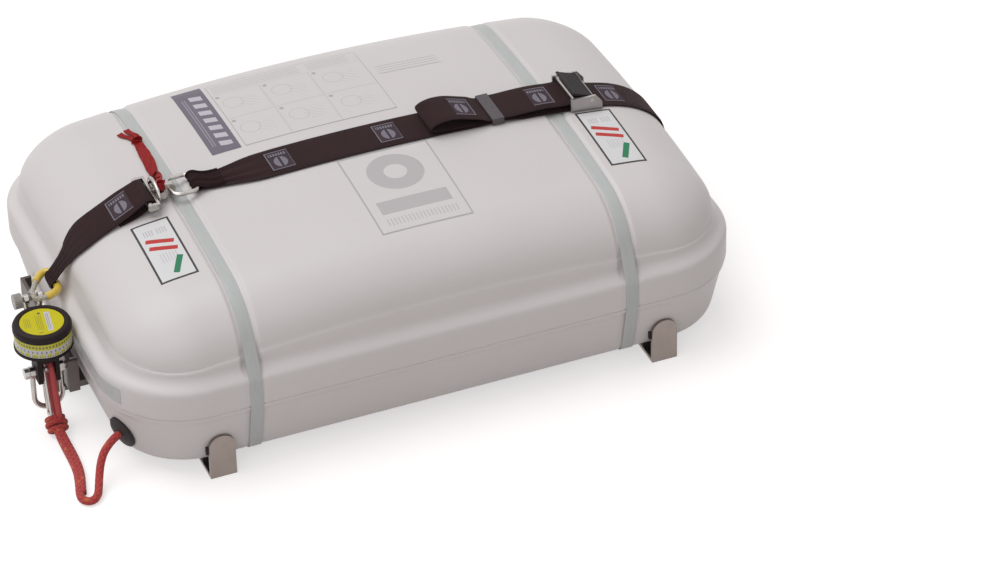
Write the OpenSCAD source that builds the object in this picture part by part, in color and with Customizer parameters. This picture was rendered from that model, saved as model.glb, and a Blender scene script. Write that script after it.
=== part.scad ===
// Liferaft canister: a two-part hard shell with the folded raft inside, held shut by
// bursting bands, lashed to a low deck cradle and freed by a water-pressure release unit.
// The shell's length runs along X. The cradle stands on z = 0 and is centred on the origin.

/* [Canister shell] */
// Length over the rim
canister_l = 735; // [715:5:765]
// Width over the rim
canister_w = 500; // [480:5:530]
// Corner radius of the rim
rim_r = 99; // [92:1:106]
// Height of the lower shell, from its bottom to the seam
lower_h = 69; // [64:1:80]
// Height of the upright rim band above the seam
rim_band_h = 37; // [34:1:42]
// Height of the crown above the seam
crown_h = 136; // [128:1:150]
// Fall of the crown from the middle to each end
crown_fall_l = 27; // [18:1:30]
// Fall of the crown from the middle to each side
crown_fall_w = 17; // [10:1:20]
// Distance that the walls stand in from the rim
wall_inset = 15; // [12:0.5:17]
// Distance that the lower shell's wall stands in from the rim at the seam
seam_inset = 3; // [2:0.5:5]
// Thickness of the moulded shells
shell_t = 4; // [3:0.25:5]
// Radius of the lower shell's bottom edge
bottom_r = 14; // [10:1:18]
// Width of the rounded shoulder along the sides
side_round_w = 59; // [50:1:64]
// Height of the rounded shoulder along the sides
side_round_h = 51; // [44:1:52]
// Width of the rounded shoulder at the ends
end_round_w = 82; // [70:1:82]
// Height of the rounded shoulder at the ends
end_round_h = 46; // [40:1:48]
// Thickness of the rubber seal between the flanges
seal_t = 3; // [2:0.5:4]

/* [Bursting bands] */
// Distance of each band from the middle of the canister
band_x = 219; // [205:1:232]
// Width of a band
band_w = 14.5; // [12:0.5:17]
// Thickness of a band
band_t = 1.2; // [0.8:0.1:1.4]
// Width of the groove that a band lies in
groove_w = 26; // [23:1:30]
// Depth of that groove
groove_t = 2.5; // [2:0.1:2.8]

/* [Cradle] */
// Thickness of the cradle's bars
bar_t = 4; // [3:0.5:5]
// Height of the rubber pads on the cross rails
pad_h = 12; // [10:0.5:14]
// Distance of each cross rail from the middle
rail_x = 260; // [250:1:272]
// Width of a cross rail and its clips
rail_w = 30; // [26:1:36]
// Height of the clips at the ends of a cross rail
clip_h = 54; // [46:1:60]
// Width of the lengthwise bar
spine_w = 60; // [50:1:70]
// Spacing of the deck bolts across the canister
deck_bolt_y = 300; // [260:5:340]
// Diameter of the deck bolt holes
deck_bolt_d = 9; // [7:0.5:11]
// Length of the end brackets' upright plate
upright_l = 172; // [160:2:190]
// Depth of the end brackets' side flanges
flange_d = 12; // [8:1:12]

/* [Lashing] */
// Width of the lashing webbing
web_w = 50; // [44:1:52]
// Thickness of the webbing
web_t = 2.5; // [2:0.25:3]
// Place of the webbing's centre line across the canister
web_y = -10; // [-14:1:0]
// Diameter of the wire in the lashing ring
ring_wire_d = 5; // [4:0.5:6]
// Diameter of the slip hook's hinge pin
hook_pin_d = 5; // [4:0.5:6]
// Diameter of the buckle's cam pin
cam_pin_d = 5; // [4:0.5:6]

/* [Release unit] */
// Distance of the release unit's axis from the middle of the canister
unit_x = 401.5; // [401:0.5:406]
// Place of the release unit's axis across the canister
unit_y = -75; // [-76:0.5:-72]
// Outer diameter of the release unit
unit_d = 65; // [58:0.5:66]
// Height of the release unit's round body
unit_h = 30.5; // [28:0.5:34]
// Height of the release unit's underside above the deck
unit_z = 104; // [100:0.5:108]
// Diameter of the release unit's mounting pin
unit_pin_d = 8; // [7:0.5:9]

/* [Painter] */
// Diameter of the painter line
painter_d = 9; // [8:0.5:9.5]
// Outer diameter of the rubber grommet that the painter comes out of
grommet_d = 38; // [34:1:42]

/* [Raft and inflation] */
// Diameter of the gas cylinder
bottle_d = 108; // [96:2:112]
// Length of the gas cylinder's straight part
bottle_l = 330; // [280:10:340]

/* [Hidden] */
$fn = 48;
fit = 0.3;

// Levels above the deck
bottom_z = bar_t + pad_h;
seam_z = bottom_z + lower_h;
rim_z = seam_z + rim_band_h;
crown_z = seam_z + crown_h;

// Plan of the shell: straight sides between four round corners
half_l = canister_l / 2;
half_w = canister_w / 2;
flat_x = half_l - rim_r;
flat_y = half_w - rim_r;
arc_n = 6;
groove_slope = 2.5;
groove_edges = [
    band_x - groove_w / 2, band_x - groove_w / 2 + groove_slope,
    band_x + groove_w / 2 - groove_slope, band_x + groove_w / 2
];
side_half = concat([45, 125], groove_edges, [flat_x]);
side_xs = concat([for (i = [len(side_half) - 1:-1:0]) -side_half[i]], side_half);
end_ys = [for (i = [-3:3]) flat_y * i / 3];
nx = len(side_xs);
ny = len(end_ys);

// Each column of the shell is one point of the plan, with its outward direction
function arc_dirs(from) = [for (i = [1:arc_n - 1]) let (a = from + 90 * i / arc_n) [cos(a), sin(a)]];
function column_dirs() = concat(
    [for (x = side_xs) [0, -1]], arc_dirs(-90), [for (y = end_ys) [1, 0]], arc_dirs(0),
    [for (x = side_xs) [0, 1]], arc_dirs(90), [for (y = end_ys) [-1, 0]], arc_dirs(180)
);
function column_roots() = concat(
    [for (x = side_xs) [x, -flat_y]], [for (i = [1:arc_n - 1]) [flat_x, -flat_y]],
    [for (y = end_ys) [flat_x, y]], [for (i = [1:arc_n - 1]) [flat_x, flat_y]],
    [for (i = [nx - 1:-1:0]) [side_xs[i], flat_y]], [for (i = [1:arc_n - 1]) [-flat_x, flat_y]],
    [for (i = [ny - 1:-1:0]) [-flat_x, end_ys[i]]], [for (i = [1:arc_n - 1]) [-flat_x, -flat_y]]
);
dirs = column_dirs();
roots = column_roots();
columns = len(dirs);

// Crown height, shoulder drop and groove depth
function crown_at(x, y) = crown_z - crown_fall_l * pow(x / half_l, 2) - crown_fall_w * pow(y / half_w, 2);
round_start = wall_inset + 1;
function mix(a, b, share) = a + (b - a) * share;
function round_t(inset, dir) = let (w = mix(side_round_w, end_round_w, pow(dir[0], 2)))
    max(0, min(1, (round_start + w - inset) / w));
function round_h(dir) = mix(side_round_h, end_round_h, pow(dir[0], 2));
function groove_at(x) = abs(abs(x) - band_x) < groove_w / 2 - groove_slope / 2 ? groove_t : 0;
function column_groove(i) = dirs[i][0] == 0 ? groove_at(roots[i][0]) : 0;

// A point of a column at an inset from the rim; sink moves it inwards along the surface normal
function plan_point(i, inset) = roots[i] + dirs[i] * (rim_r - inset);
function wall_point(i, inset, z, sink) = let (p = plan_point(i, inset + sink)) [p[0], p[1], z];
function shoulder_point(i, inset, skin) = let (
    t = round_t(inset, dirs[i]),
    sink = skin + column_groove(i),
    p = plan_point(i, inset),
    q = plan_point(i, inset + sink * t),
    z = crown_at(p[0], p[1]) - round_h(dirs[i]) * (1 - sqrt(1 - t * t)) - sink * sqrt(1 - t * t)
) [q[0], q[1], z];
function crown_point(x, y, skin) = [x, y, crown_at(x, y) - skin - groove_at(x)];
shoulder_insets = [
    round_start, round_start + 1.5, round_start + 5, round_start + 11, round_start + 19,
    round_start + 29, round_start + 41, round_start + 54, rim_r - 14
];

// Rings of the upper shell from its flange up to the crown, outside (skin 0) or inside (skin shell_t)
upper_rings_out = [
    [0, seam_z + seal_t], [0, rim_z - 5], [1.2, rim_z - 1.5], [3.2, rim_z + 0.5],
    [9, rim_z + 3.5], [wall_inset - 1.5, rim_z + 6], [wall_inset, rim_z + 10]
];
upper_rings_in = [
    [shell_t, seam_z + seal_t], [shell_t, rim_z - 5], [wall_inset + shell_t - 2, rim_z + 2],
    [wall_inset + shell_t, rim_z + 9]
];
function ring_sink(rings, k, i) = k == len(rings) - 1 ? column_groove(i) : 0;
function upper_skin(rings, skin) = concat(
    [for (k = [0:len(rings) - 1]) for (i = [0:columns - 1])
        wall_point(i, rings[k][0], rings[k][1], ring_sink(rings, k, i))],
    [for (inset = shoulder_insets) for (i = [0:columns - 1]) shoulder_point(i, inset, skin)],
    [for (y = end_ys) for (x = side_xs) crown_point(x, y, skin)]
);

// Faces between two rings of columns, starting at vertices a and b
function band_faces(a, b) = [for (i = [0:columns - 1]) let (j = (i + 1) % columns)
    for (f = [[a + i, b + i, b + j], [a + i, b + j, a + j]]) f];
function skin_faces(first, rings) = [for (k = [0:rings - 2])
    for (f = band_faces(first + k * columns, first + (k + 1) * columns)) f];
// Vertex of the crown's grid that a column runs into
function grid_cell(i) =
    i < nx ? [i, 0] :
    i < nx + arc_n - 1 ? [nx - 1, 0] :
    i < nx + arc_n - 1 + ny ? [nx - 1, i - nx - arc_n + 1] :
    i < nx + 2 * (arc_n - 1) + ny ? [nx - 1, ny - 1] :
    i < 2 * nx + 2 * (arc_n - 1) + ny ? [2 * nx + 2 * (arc_n - 1) + ny - 1 - i, ny - 1] :
    i < 2 * nx + 3 * (arc_n - 1) + ny ? [0, ny - 1] :
    i < 2 * nx + 3 * (arc_n - 1) + 2 * ny ? [0, 2 * nx + 3 * (arc_n - 1) + 2 * ny - 1 - i] : [0, 0];
function grid_vertex(first, i) = let (c = grid_cell(i)) first + c[1] * nx + c[0];
function crown_faces(ring, grid) = concat(
    [for (i = [0:columns - 1]) let (j = (i + 1) % columns, a = grid_vertex(grid, i), b = grid_vertex(grid, j))
        for (f = a == b ? [[ring + i, a, ring + j]] : [[ring + i, a, b], [ring + i, b, ring + j]]) f],
    [for (r = [0:ny - 2]) for (c = [0:nx - 2]) let (v = grid + r * nx + c)
        for (f = [[v, v + nx, v + nx + 1], [v, v + nx + 1, v + 1]]) f]
);
function flipped(faces) = [for (f = faces) [for (i = [len(f) - 1:-1:0]) f[i]]];

// The lower shell's walls lean outwards from the bottom edge to the seam
lower_slope = (wall_inset - seam_inset) / (seam_z - bottom_z - bottom_r);
function lower_inset(z) = seam_inset + (seam_z - z) * lower_slope;
// Rings of the lower shell from its bottom edge up to the flange, and back down inside
function edge_ring(a, r) = [wall_inset + bottom_r - r * sin(a), bottom_z + bottom_r - r * cos(a), 0];
edge_a = 78;
lower_rings_out = concat(
    [for (k = [0:4]) edge_ring(k * edge_a / 4, bottom_r)],
    [for (z = [bottom_z + bottom_r + 6, seam_z - 14]) [lower_inset(z), z, 1]],
    [for (z = [seam_z - 8, seam_z]) [lower_inset(z), z, 0]]
);
lower_rings_in = concat(
    [[wall_inset, seam_z, 0], [wall_inset, seam_z - shell_t, 0]],
    [[lower_inset(seam_z - 8) + shell_t, seam_z - 8, 0]],
    [for (z = [seam_z - 14, bottom_z + bottom_r + 6]) [lower_inset(z) + shell_t, z, 1]],
    [for (k = [3:-1:0]) edge_ring(k * edge_a / 3, bottom_r - shell_t)]
);

module upper_shell() {
    outer = upper_skin(upper_rings_out, 0);
    inner = upper_skin(upper_rings_in, shell_t);
    out_n = len(upper_rings_out) + len(shoulder_insets);
    in_n = len(upper_rings_in) + len(shoulder_insets);
    base = len(outer);
    color("gainsboro") polyhedron(concat(outer, inner), concat(
        skin_faces(0, out_n), crown_faces((out_n - 1) * columns, out_n * columns),
        flipped(skin_faces(base, in_n)),
        flipped(crown_faces(base + (in_n - 1) * columns, base + in_n * columns)),
        flipped(band_faces(0, base))
    ), convexity = 6);
}

module lower_shell() {
    rings = concat(lower_rings_out, lower_rings_in);
    points = [for (r = rings) for (i = [0:columns - 1]) wall_point(i, r[0], r[1], r[2] * column_groove(i))];
    last = (len(rings) - 1) * columns;
    centres = [[0, 0, bottom_z], [0, 0, bottom_z + shell_t]];
    middle = len(points);
    color("gainsboro") polyhedron(concat(points, centres), concat(
        skin_faces(0, len(rings)),
        [for (i = [0:columns - 1]) [i, (i + 1) % columns, middle]],
        [for (i = [0:columns - 1]) [last + (i + 1) % columns, last + i, middle + 1]]
    ), convexity = 6);
}

// Plan outline of the canister at an inset, as exact round-cornered plate
module plan_plate(inset, h) {
    r = rim_r - inset;
    linear_extrude(h) union() {
        square([2 * (flat_x + r), 2 * flat_y], center = true);
        square([2 * flat_x, 2 * (flat_y + r)], center = true);
        for (sx = [-1, 1], sy = [-1, 1]) translate([sx * flat_x, sy * flat_y]) circle(r, $fn = 96);
    }
}

module rim_seal() {
    seal_gap = 0.05;
    color("dimgray") translate([0, 0, seam_z + seal_gap]) difference() {
        plan_plate(2, seal_t - 2 * seal_gap);
        translate([0, 0, -1]) plan_plate(wall_inset - 3, seal_t + 2);
    }
}

// A band follows the groove over the crown and shoulders, and is drawn tight past the rim
band_edge = band_x - band_w / 2;
function band_point(inset, off) = let (
    t = round_t(inset, [0, 1]),
    up = sqrt(1 - t * t)
) [
    half_w - inset - (groove_t - off) * t,
    crown_at(band_edge, half_w - inset) - round_h([0, 1]) * (1 - up) - (groove_t - off) * up
];
function band_side(off) = concat(
    [[0, bottom_z - off]],
    [for (a = [0:15:75]) [half_w - wall_inset - bottom_r + (bottom_r + off) * sin(a),
        bottom_z + bottom_r - (bottom_r + off) * cos(a)]],
    [[half_w - seam_inset + off + 1, seam_z - seal_t - 1], [half_w + off, seam_z + seal_t], [half_w + off, rim_z - 3],
     [half_w - 2.5 + off * 0.8, rim_z + 1 + off * 0.6]],
    [for (inset = shoulder_insets) band_point(inset, off)],
    [for (k = [ny - 1:-1:(ny + 1) / 2]) band_point(half_w - end_ys[k], off)],
    [[0, crown_at(band_edge, 0) - groove_t + off]]
);
module band_loop(off) {
    side = band_side(off);
    polygon(concat(side, [for (i = [len(side) - 2:-1:1]) [-side[i][0], side[i][1]]]));
}
module burst_band(x) {
    color("lightgray") translate([x - band_w / 2, 0, 0]) rotate([90, 0, 90]) linear_extrude(band_w)
        difference() {
            band_loop(fit + band_t);
            band_loop(fit);
        }
}

// Crimped joints of the bands, on the hidden back wall
module band_crimps() {
    crimp_t = 1;
    crimp_h = 20;
    for (s = [-1, 1]) color("silver")
        translate([s * band_x - band_w / 2 - 2, half_w + fit + band_t + 0.05, rim_z - crimp_h - 6])
            cube([band_w + 4, crimp_t, crimp_h]);
}

// Folded raft in its sealed cover, with a bay for the gas cylinder and the stowed painter
pack_x = half_l - wall_inset - shell_t - 14;
pack_y = half_w - wall_inset - shell_t - 12;
pack_top = crown_at(pack_x, 0) - end_round_h;
bottle_y = pack_y - bottle_d / 2 - 6;
bottle_z = bottom_z + shell_t + bottle_d / 2 + fit;
coil_bay = 130;
coil_r = 44;
module soft_block(x0, x1, y0, y1, z0, z1, r) {
    translate([0, 0, z0]) linear_extrude(z1 - z0) union() {
        translate([x0 + r, y0]) square([x1 - x0 - 2 * r, y1 - y0]);
        translate([x0, y0 + r]) square([x1 - x0, y1 - y0 - 2 * r]);
        for (x = [x0 + r, x1 - r], y = [y0 + r, y1 - r]) translate([x, y]) circle(r);
    }
}
module raft_pack() {
    floor_z = bottom_z + shell_t + fit;
    step_z = mix(floor_z, pack_top, 0.9);
    color("darkorange") difference() {
        union() {
            soft_block(-pack_x + coil_bay, pack_x, -pack_y, pack_y, floor_z, step_z, 60);
            soft_block(-pack_x + coil_bay, pack_x - 30, -pack_y + 34, pack_y - 34, step_z - 1, pack_top + 22, 60);
        }
        translate([-pack_x, bottle_y - bottle_d / 2 - 3, floor_z - 1])
            cube([2 * pack_x, pack_y, bottle_z + bottle_d / 2 + 3 - floor_z + 1]);
    }
}

// Gas cylinder with round ends and a neck, lying along the back wall
module gas_cylinder() {
    r = bottle_d / 2;
    crown = 0.45 * r;
    neck_r = 13;
    neck_l = 14;
    color("dimgray") translate([-bottle_l / 2 - 20, bottle_y, bottle_z]) rotate([0, 90, 0]) rotate_extrude($fn = 64)
        polygon(concat(
            [[0, -crown - neck_l], [neck_r, -crown - neck_l], [neck_r, -crown + 2]],
            [for (a = [75:-15:0]) [r * cos(a), -crown * sin(a)]],
            [for (a = [0:15:90]) [r * cos(a), bottle_l + crown * sin(a)]]
        ));
}

// Operating head on the cylinder's neck: body, hose outlets and the pull lever's housing
module inflation_head() {
    neck_x = -bottle_l / 2 - 20 - 0.45 * bottle_d / 2 - 14;
    head_l = 46;
    head_d = 38;
    outlet_d = 20;
    color("goldenrod") translate([neck_x - head_l, bottle_y, bottle_z]) union() {
        rotate([0, 90, 0]) cylinder(d = head_d, h = head_l);
        translate([head_l / 2, 0, 0]) rotate([90, 0, 0]) cylinder(d = outlet_d, h = 46);
        translate([head_l / 2, 0, 0]) cylinder(d = outlet_d, h = 36);
        translate([4, -12, -30]) cube([28, 24, 20]);
    }
}

// Bag of survival equipment, beside the coil and the operating head
module equipment_bag() {
    floor_z = bottom_z + shell_t + fit;
    bag_h = 110;
    color("darkorange") soft_block(-pack_x + 16, -pack_x + coil_bay - 5, -pack_y + coil_bay + 8,
        bottle_y - bottle_d / 2 - 14, floor_z, floor_z + bag_h, 24);
}

// Stowed painter, flaked into a round coil beside the grommet
coil_x = -pack_x + coil_bay / 2;
coil_y = -pack_y + coil_bay / 2 + 8;
coil_h = 5 * painter_d;
module painter_coil() {
    floor_z = bottom_z + shell_t + fit;
    color("firebrick") translate([coil_x, coil_y, floor_z]) rotate_extrude()
        translate([coil_r - 2 * painter_d, 0]) square([3 * painter_d, coil_h]);
}

// Grommet on the lower shell's front left corner
grommet_a = 20;
grommet_dir = [-cos(grommet_a), -sin(grommet_a)];
grommet_z = bottom_z + 27.5;
grommet_foot = [-flat_x, -flat_y] + grommet_dir * (rim_r - lower_inset(grommet_z));
module painter_grommet() {
    lip_t = 4;
    hole_d = painter_d + 2 * fit;
    color([0.12, 0.12, 0.12]) translate([grommet_foot[0], grommet_foot[1], grommet_z])
        rotate([0, 0, 180 + grommet_a]) rotate([0, 90 + atan(lower_slope), 0]) difference() {
            rotate_extrude() polygon([
                [0, fit], [grommet_d / 2, fit], [grommet_d / 2, lip_t - 1.5],
                [grommet_d / 2 - 2, lip_t], [hole_d / 2 + 4, lip_t + 2], [0, lip_t + 2]
            ]);
            translate([0, 0, 1.5]) cylinder(d = hole_d + 0.8, h = 10);
        }
}

// A round rope swept along points that are chosen by hand
function unit(v) = v / norm(v);
function tangent(p, i) = unit(p[min(i + 1, len(p) - 1)] - p[max(i - 1, 0)]);
function frame_side(t) = abs(t[2]) > 0.9 ? unit(cross(t, [0, 1, 0])) : unit(cross(t, [0, 0, 1]));
function tube_ring(p, t, d, n) = let (s = frame_side(t), u = cross(s, t))
    [for (k = [0:n - 1]) p + d / 2 * (s * cos(360 * k / n) + u * sin(360 * k / n))];
module rope(path, d, n = 8) {
    m = len(path);
    points = [for (i = [0:m - 1]) each tube_ring(path[i], tangent(path, i), d, n)];
    faces = concat(
        [[for (k = [n - 1:-1:0]) k]],
        [for (i = [0:m - 2]) for (k = [0:n - 1]) let (a = i * n + k, b = i * n + (k + 1) % n)
            for (f = [[a, b, b + n], [a, b + n, a + n]]) f],
        [[for (k = [0:n - 1]) (m - 1) * n + k]]
    );
    polyhedron(points, faces, convexity = 4);
}
// A closed loop of round rope or wire through a ring of points
module rope_loop(path, d, n = 8) {
    m = len(path);
    points = [for (i = [0:m - 1])
        let (t = unit(path[(i + 1) % m] - path[(i + m - 1) % m]), a = path[(i + 1) % m] - path[i],
             s = unit(cross(t, cross(path[floor(i + m / 3) % m] - path[i], path[floor(i + 2 * m / 3) % m] - path[i]))),
             u = cross(s, t))
        for (k = [0:n - 1]) path[i] + d / 2 * (s * cos(360 * k / n) + u * sin(360 * k / n))];
    faces = [for (i = [0:m - 1]) for (k = [0:n - 1]) let (
            a = i * n + k, b = i * n + (k + 1) % n, c = ((i + 1) % m) * n + k, e = ((i + 1) % m) * n + (k + 1) % n)
        for (f = [[a, b, e], [a, e, c]]) f];
    polyhedron(points, faces, convexity = 6);
}
// Catmull-Rom curve through hand-chosen points
function curve_at(p, i, s) = let (
    a = p[max(i - 1, 0)], b = p[i], c = p[i + 1], e = p[min(i + 2, len(p) - 1)]
) 0.5 * (2 * b + (c - a) * s + (2 * a - 5 * b + 4 * c - e) * s * s + (3 * b - a - 3 * c + e) * s * s * s);
function curve(p, steps) = concat(
    [for (i = [0:len(p) - 2]) for (k = [0:steps - 1]) curve_at(p, i, k / steps)], [p[len(p) - 1]]
);

// Painter from the grommet down to the deck and along it to the knot on the weak link
painter_route = [
    [-353, -182, 43], [-360, -184, 41], [-368, -187, 38], [-379, -194, 31], [-387, -204, 20], [-392, -216, 10],
    [-396, -230, 5], [-402, -234, 5], [-406, -225, 5], [-406, -210, 5], [-405, -190, 5],
    [-404, -170, 5], [-404, -150, 5], [-404, -130, 5], [-404, -117, 7], [-404, -108, 10]
];
// Second strand of the splice, lying beside the first
splice_route = [
    [-395, -220, 5], [-396, -205, 5], [-395, -190, 5], [-394, -170, 5], [-394, -150, 5],
    [-394, -130, 5], [-396, -117, 7], [-399, -108, 10]
];
module painter_line() {
    color("firebrick") rope(curve(painter_route, 2), painter_d, 10);
}
module painter_splice() {
    color("firebrick") rope(curve(splice_route, 2), painter_d, 10);
}
knot_c = [-402, -99, 12];
knot_r = 10;
module painter_knot() {
    color("firebrick") translate(knot_c) sphere(knot_r, $fn = 32);
}

// Cross rail: one strip under the canister with both ends turned up as clips
clip_y = half_w - wall_inset + 6;
module cross_rail(x) {
    bolt_xy = deck_bolt_y / 2;
    color("silver") translate([x, 0, 0]) difference() {
        union() {
            translate([-rail_w / 2, -clip_y - bar_t, 0]) cube([rail_w, 2 * (clip_y + bar_t), bar_t]);
            for (s = [-1, 1]) translate([0, s * (clip_y + bar_t / 2), 0]) rotate([90, 0, 0])
                translate([0, 0, -bar_t / 2]) linear_extrude(bar_t) union() {
                    translate([-rail_w / 2, 0]) square([rail_w, clip_h - rail_w / 2]);
                    translate([0, clip_h - rail_w / 2]) circle(d = rail_w);
                }
        }
        for (s = [-1, 1]) translate([0, s * bolt_xy, -1]) cylinder(d = deck_bolt_d, h = bar_t + 2);
    }
}

// Rubber pads under the canister, between the lengthwise bar and the deck bolts
module rail_pads() {
    pad_in = deck_bolt_y / 2 + deck_bolt_d;
    pad_l = clip_y - 22 - pad_in;
    pad_y = pad_in + pad_l / 2;
    color([0.15, 0.15, 0.15]) for (x = [-rail_x, rail_x], s = [-1, 1])
        translate([x - rail_w / 2, s * pad_y - pad_l / 2, bar_t]) cube([rail_w, pad_l, pad_h]);
}

// Rubber liners between the clips and the lower shell
module clip_liners() {
    liner_top = clip_h - rail_w / 2;
    liner_h = liner_top - bottom_z - bottom_r;
    liner_t = clip_y - (half_w - lower_inset(liner_top)) - fit;
    color([0.15, 0.15, 0.15]) for (x = [-rail_x, rail_x], s = [-1, 1])
        translate([x - rail_w / 2 - 2, s * (clip_y - liner_t / 2) - liner_t / 2, bottom_z + bottom_r])
            cube([rail_w, liner_t, liner_h]);
}

// End brackets: a foot under the lengthwise bar and an upright plate with side flanges
bracket_x = half_l + 12.5;
foot_w = spine_w;
foot_l = 95;
foot_bolts = [-rail_x - rail_w / 2 - 22, -rail_x - rail_w / 2 - 62];
upright_z = 39;
upright_top = seam_z - 5;
pin_z = 70;
module end_bracket(side, drilled) {
    scale_x = side;
    color("silver") difference() {
        union() {
            translate([scale_x * (bracket_x - foot_l / 2), 0, bar_t / 2]) cube([foot_l, foot_w, bar_t], center = true);
            translate([scale_x * (bracket_x - bar_t / 2), 0, upright_z / 2 + 1])
                cube([bar_t, foot_w, upright_z + 2], center = true);
            translate([scale_x * (bracket_x - bar_t / 2), 0, (upright_z + upright_top) / 2])
                cube([bar_t, upright_l, upright_top - upright_z], center = true);
            for (s = [-1, 1])
                translate([scale_x * (bracket_x - flange_d / 2), s * (upright_l - bar_t) / 2, (upright_z + upright_top) / 2])
                    cube([flange_d, bar_t, upright_top - upright_z], center = true);
        }
        for (x = foot_bolts) translate([-scale_x * x, 0, -1]) cylinder(d = 8.4, h = bar_t + 2);
        if (drilled) translate([scale_x * bracket_x, unit_y, pin_z]) rotate([0, 90, 0])
            cylinder(d = unit_pin_d + 0.4, h = 4 * bar_t, center = true);
        else translate([scale_x * bracket_x, web_y, slot_z])
            cube([4 * bar_t, web_w + 6, 10], center = true);
    }
}

module spine_bar() {
    spine_l = 2 * (bracket_x - bar_t - 8);
    color("silver") difference() {
        translate([0, 0, bar_t * 1.5]) cube([spine_l, spine_w, bar_t], center = true);
        for (s = [-1, 1], x = foot_bolts) translate([s * x, 0, 0]) cylinder(d = 8.4, h = 4 * bar_t);
    }
}

// Button-head bolts that hold the bar to the bracket feet
module bracket_bolts() {
    color("silver") for (s = [-1, 1], x = foot_bolts) translate([s * x, 0, 0]) union() {
        translate([0, 0, 0.2]) cylinder(d = 8, h = 2 * bar_t);
        translate([0, 0, 2 * bar_t]) cylinder(d = 14, h = 4.5);
    }
}

// Release unit: round body with a side label, black cap ring and round label on top
module at_unit() {
    translate([-unit_x, unit_y, unit_z]) children();
}
cap_h = 9;
lip_h = 3;
module unit_body() {
    r = unit_d / 2;
    cavity_r = r - 9;
    color([0.1, 0.1, 0.1]) at_unit() difference() {
        rotate_extrude($fn = 96) polygon([
            [0, 0], [r, 0], [r, lip_h], [r - 2.5, lip_h], [r - 2.5, unit_h - cap_h], [0, unit_h - cap_h]
        ]);
        translate([0, 0, 6]) cylinder(r = cavity_r, h = unit_h);
        translate([0, 0, -1]) cylinder(d = 12, h = 10);
    }
}
module unit_cap() {
    r = unit_d / 2;
    color([0.1, 0.1, 0.1]) at_unit() rotate_extrude($fn = 96) polygon([
        [0, unit_h - cap_h + 0.1], [r, unit_h - cap_h + 0.1], [r, unit_h - 4], [r - 1.5, unit_h - 1],
        [r - 4, unit_h], [r - 7, unit_h], [r - 8, unit_h - 1.5], [0, unit_h - 1.5]
    ]);
}
module unit_label() {
    color("yellow") at_unit() translate([0, 0, unit_h - 1.4]) cylinder(r = unit_d / 2 - 8.3, h = 0.6, $fn = 96);
}
module unit_side_label() {
    r = unit_d / 2;
    color("yellow") at_unit() rotate_extrude($fn = 96)
        translate([r - 2.4, lip_h + 0.4]) square([1.4, unit_h - cap_h - lip_h - 0.8]);
}

// Cutting knife and its driving spring, inside the body
module unit_knife() {
    color("silver") at_unit() union() {
        translate([0, 0, -6]) cylinder(d = 10, h = 14);
        translate([0, 0, 7.5]) cylinder(d = 18, h = 2.5);
    }
}
spring_r = 12;
spring_wire = 2;
spring_turns = 3;
module unit_spring() {
    spring_z = 10 + spring_wire / 2 + 0.1;
    spring_top = unit_h - cap_h - spring_wire / 2 - 0.1;
    steps = 16 * spring_turns;
    path = [for (i = [0:steps]) [spring_r * cos(22.5 * i), spring_r * sin(22.5 * i),
        spring_z + (spring_top - spring_z) * i / steps]];
    color("gray") at_unit() rope(path, spring_wire, 6);
}

// Block under the body: a slot for the release rope and the weak link, and the cross hole for the pin
block_l = 25;
block_w = 24;
block_h = 44;
slot_l = 15;
module unit_block() {
    color([0.12, 0.12, 0.12]) translate([-unit_x, unit_y, unit_z - block_h]) difference() {
        translate([-block_l / 2, -block_w / 2, 0]) cube([block_l, block_w, block_h - 0.1]);
        translate([-slot_l / 2 + 0.5, -block_w, -1]) cube([slot_l, 2 * block_w, 27]);
        translate([0, 0, pin_z - unit_z + block_h]) rotate([0, 90, 0])
            cylinder(d = unit_pin_d + 0.1, h = 2 * block_l, center = true);
        translate([0, 0, block_h - 8]) cylinder(d = 12, h = 10);
    }
}
ear_gap = 16;
module unit_pin() {
    head_t = 5;
    pin_end = bracket_x - bar_t - 6.5;
    color("silver") translate([0, unit_y, pin_z]) rotate([0, 90, 0]) union() {
        translate([0, 0, -unit_x - ear_gap - 4]) cylinder(d = unit_pin_d, h = unit_x + ear_gap + 4 - pin_end);
        translate([0, 0, -unit_x - ear_gap - 4 - head_t]) cylinder(d = 13, h = head_t);
        translate([0, 0, -bracket_x + bar_t + 0.1]) cylinder(d = 12, h = 6.5, $fn = 6);
    }
}

// Bow shackle hanging on the pin, with flat eyes
shackle_wire = 6;
shackle_low = 36;
module unit_shackle() {
    color("silver") translate([-unit_x, unit_y, 0]) difference() {
        union() {
            for (s = [-1, 1]) {
                translate([s * ear_gap, 0, shackle_low]) cylinder(d = shackle_wire, h = pin_z - shackle_low);
                translate([s * ear_gap, 0, pin_z]) rotate([0, 90, 0]) cylinder(d = 14, h = shackle_wire, center = true);
            }
            translate([0, 0, shackle_low]) rotate([90, 0, 0]) rotate_extrude(angle = -180)
                translate([ear_gap, 0]) circle(d = shackle_wire, $fn = 24);
        }
        translate([0, 0, pin_z]) rotate([0, 90, 0])
            cylinder(d = unit_pin_d + 0.1, h = 3 * ear_gap, center = true);
    }
}

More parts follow.
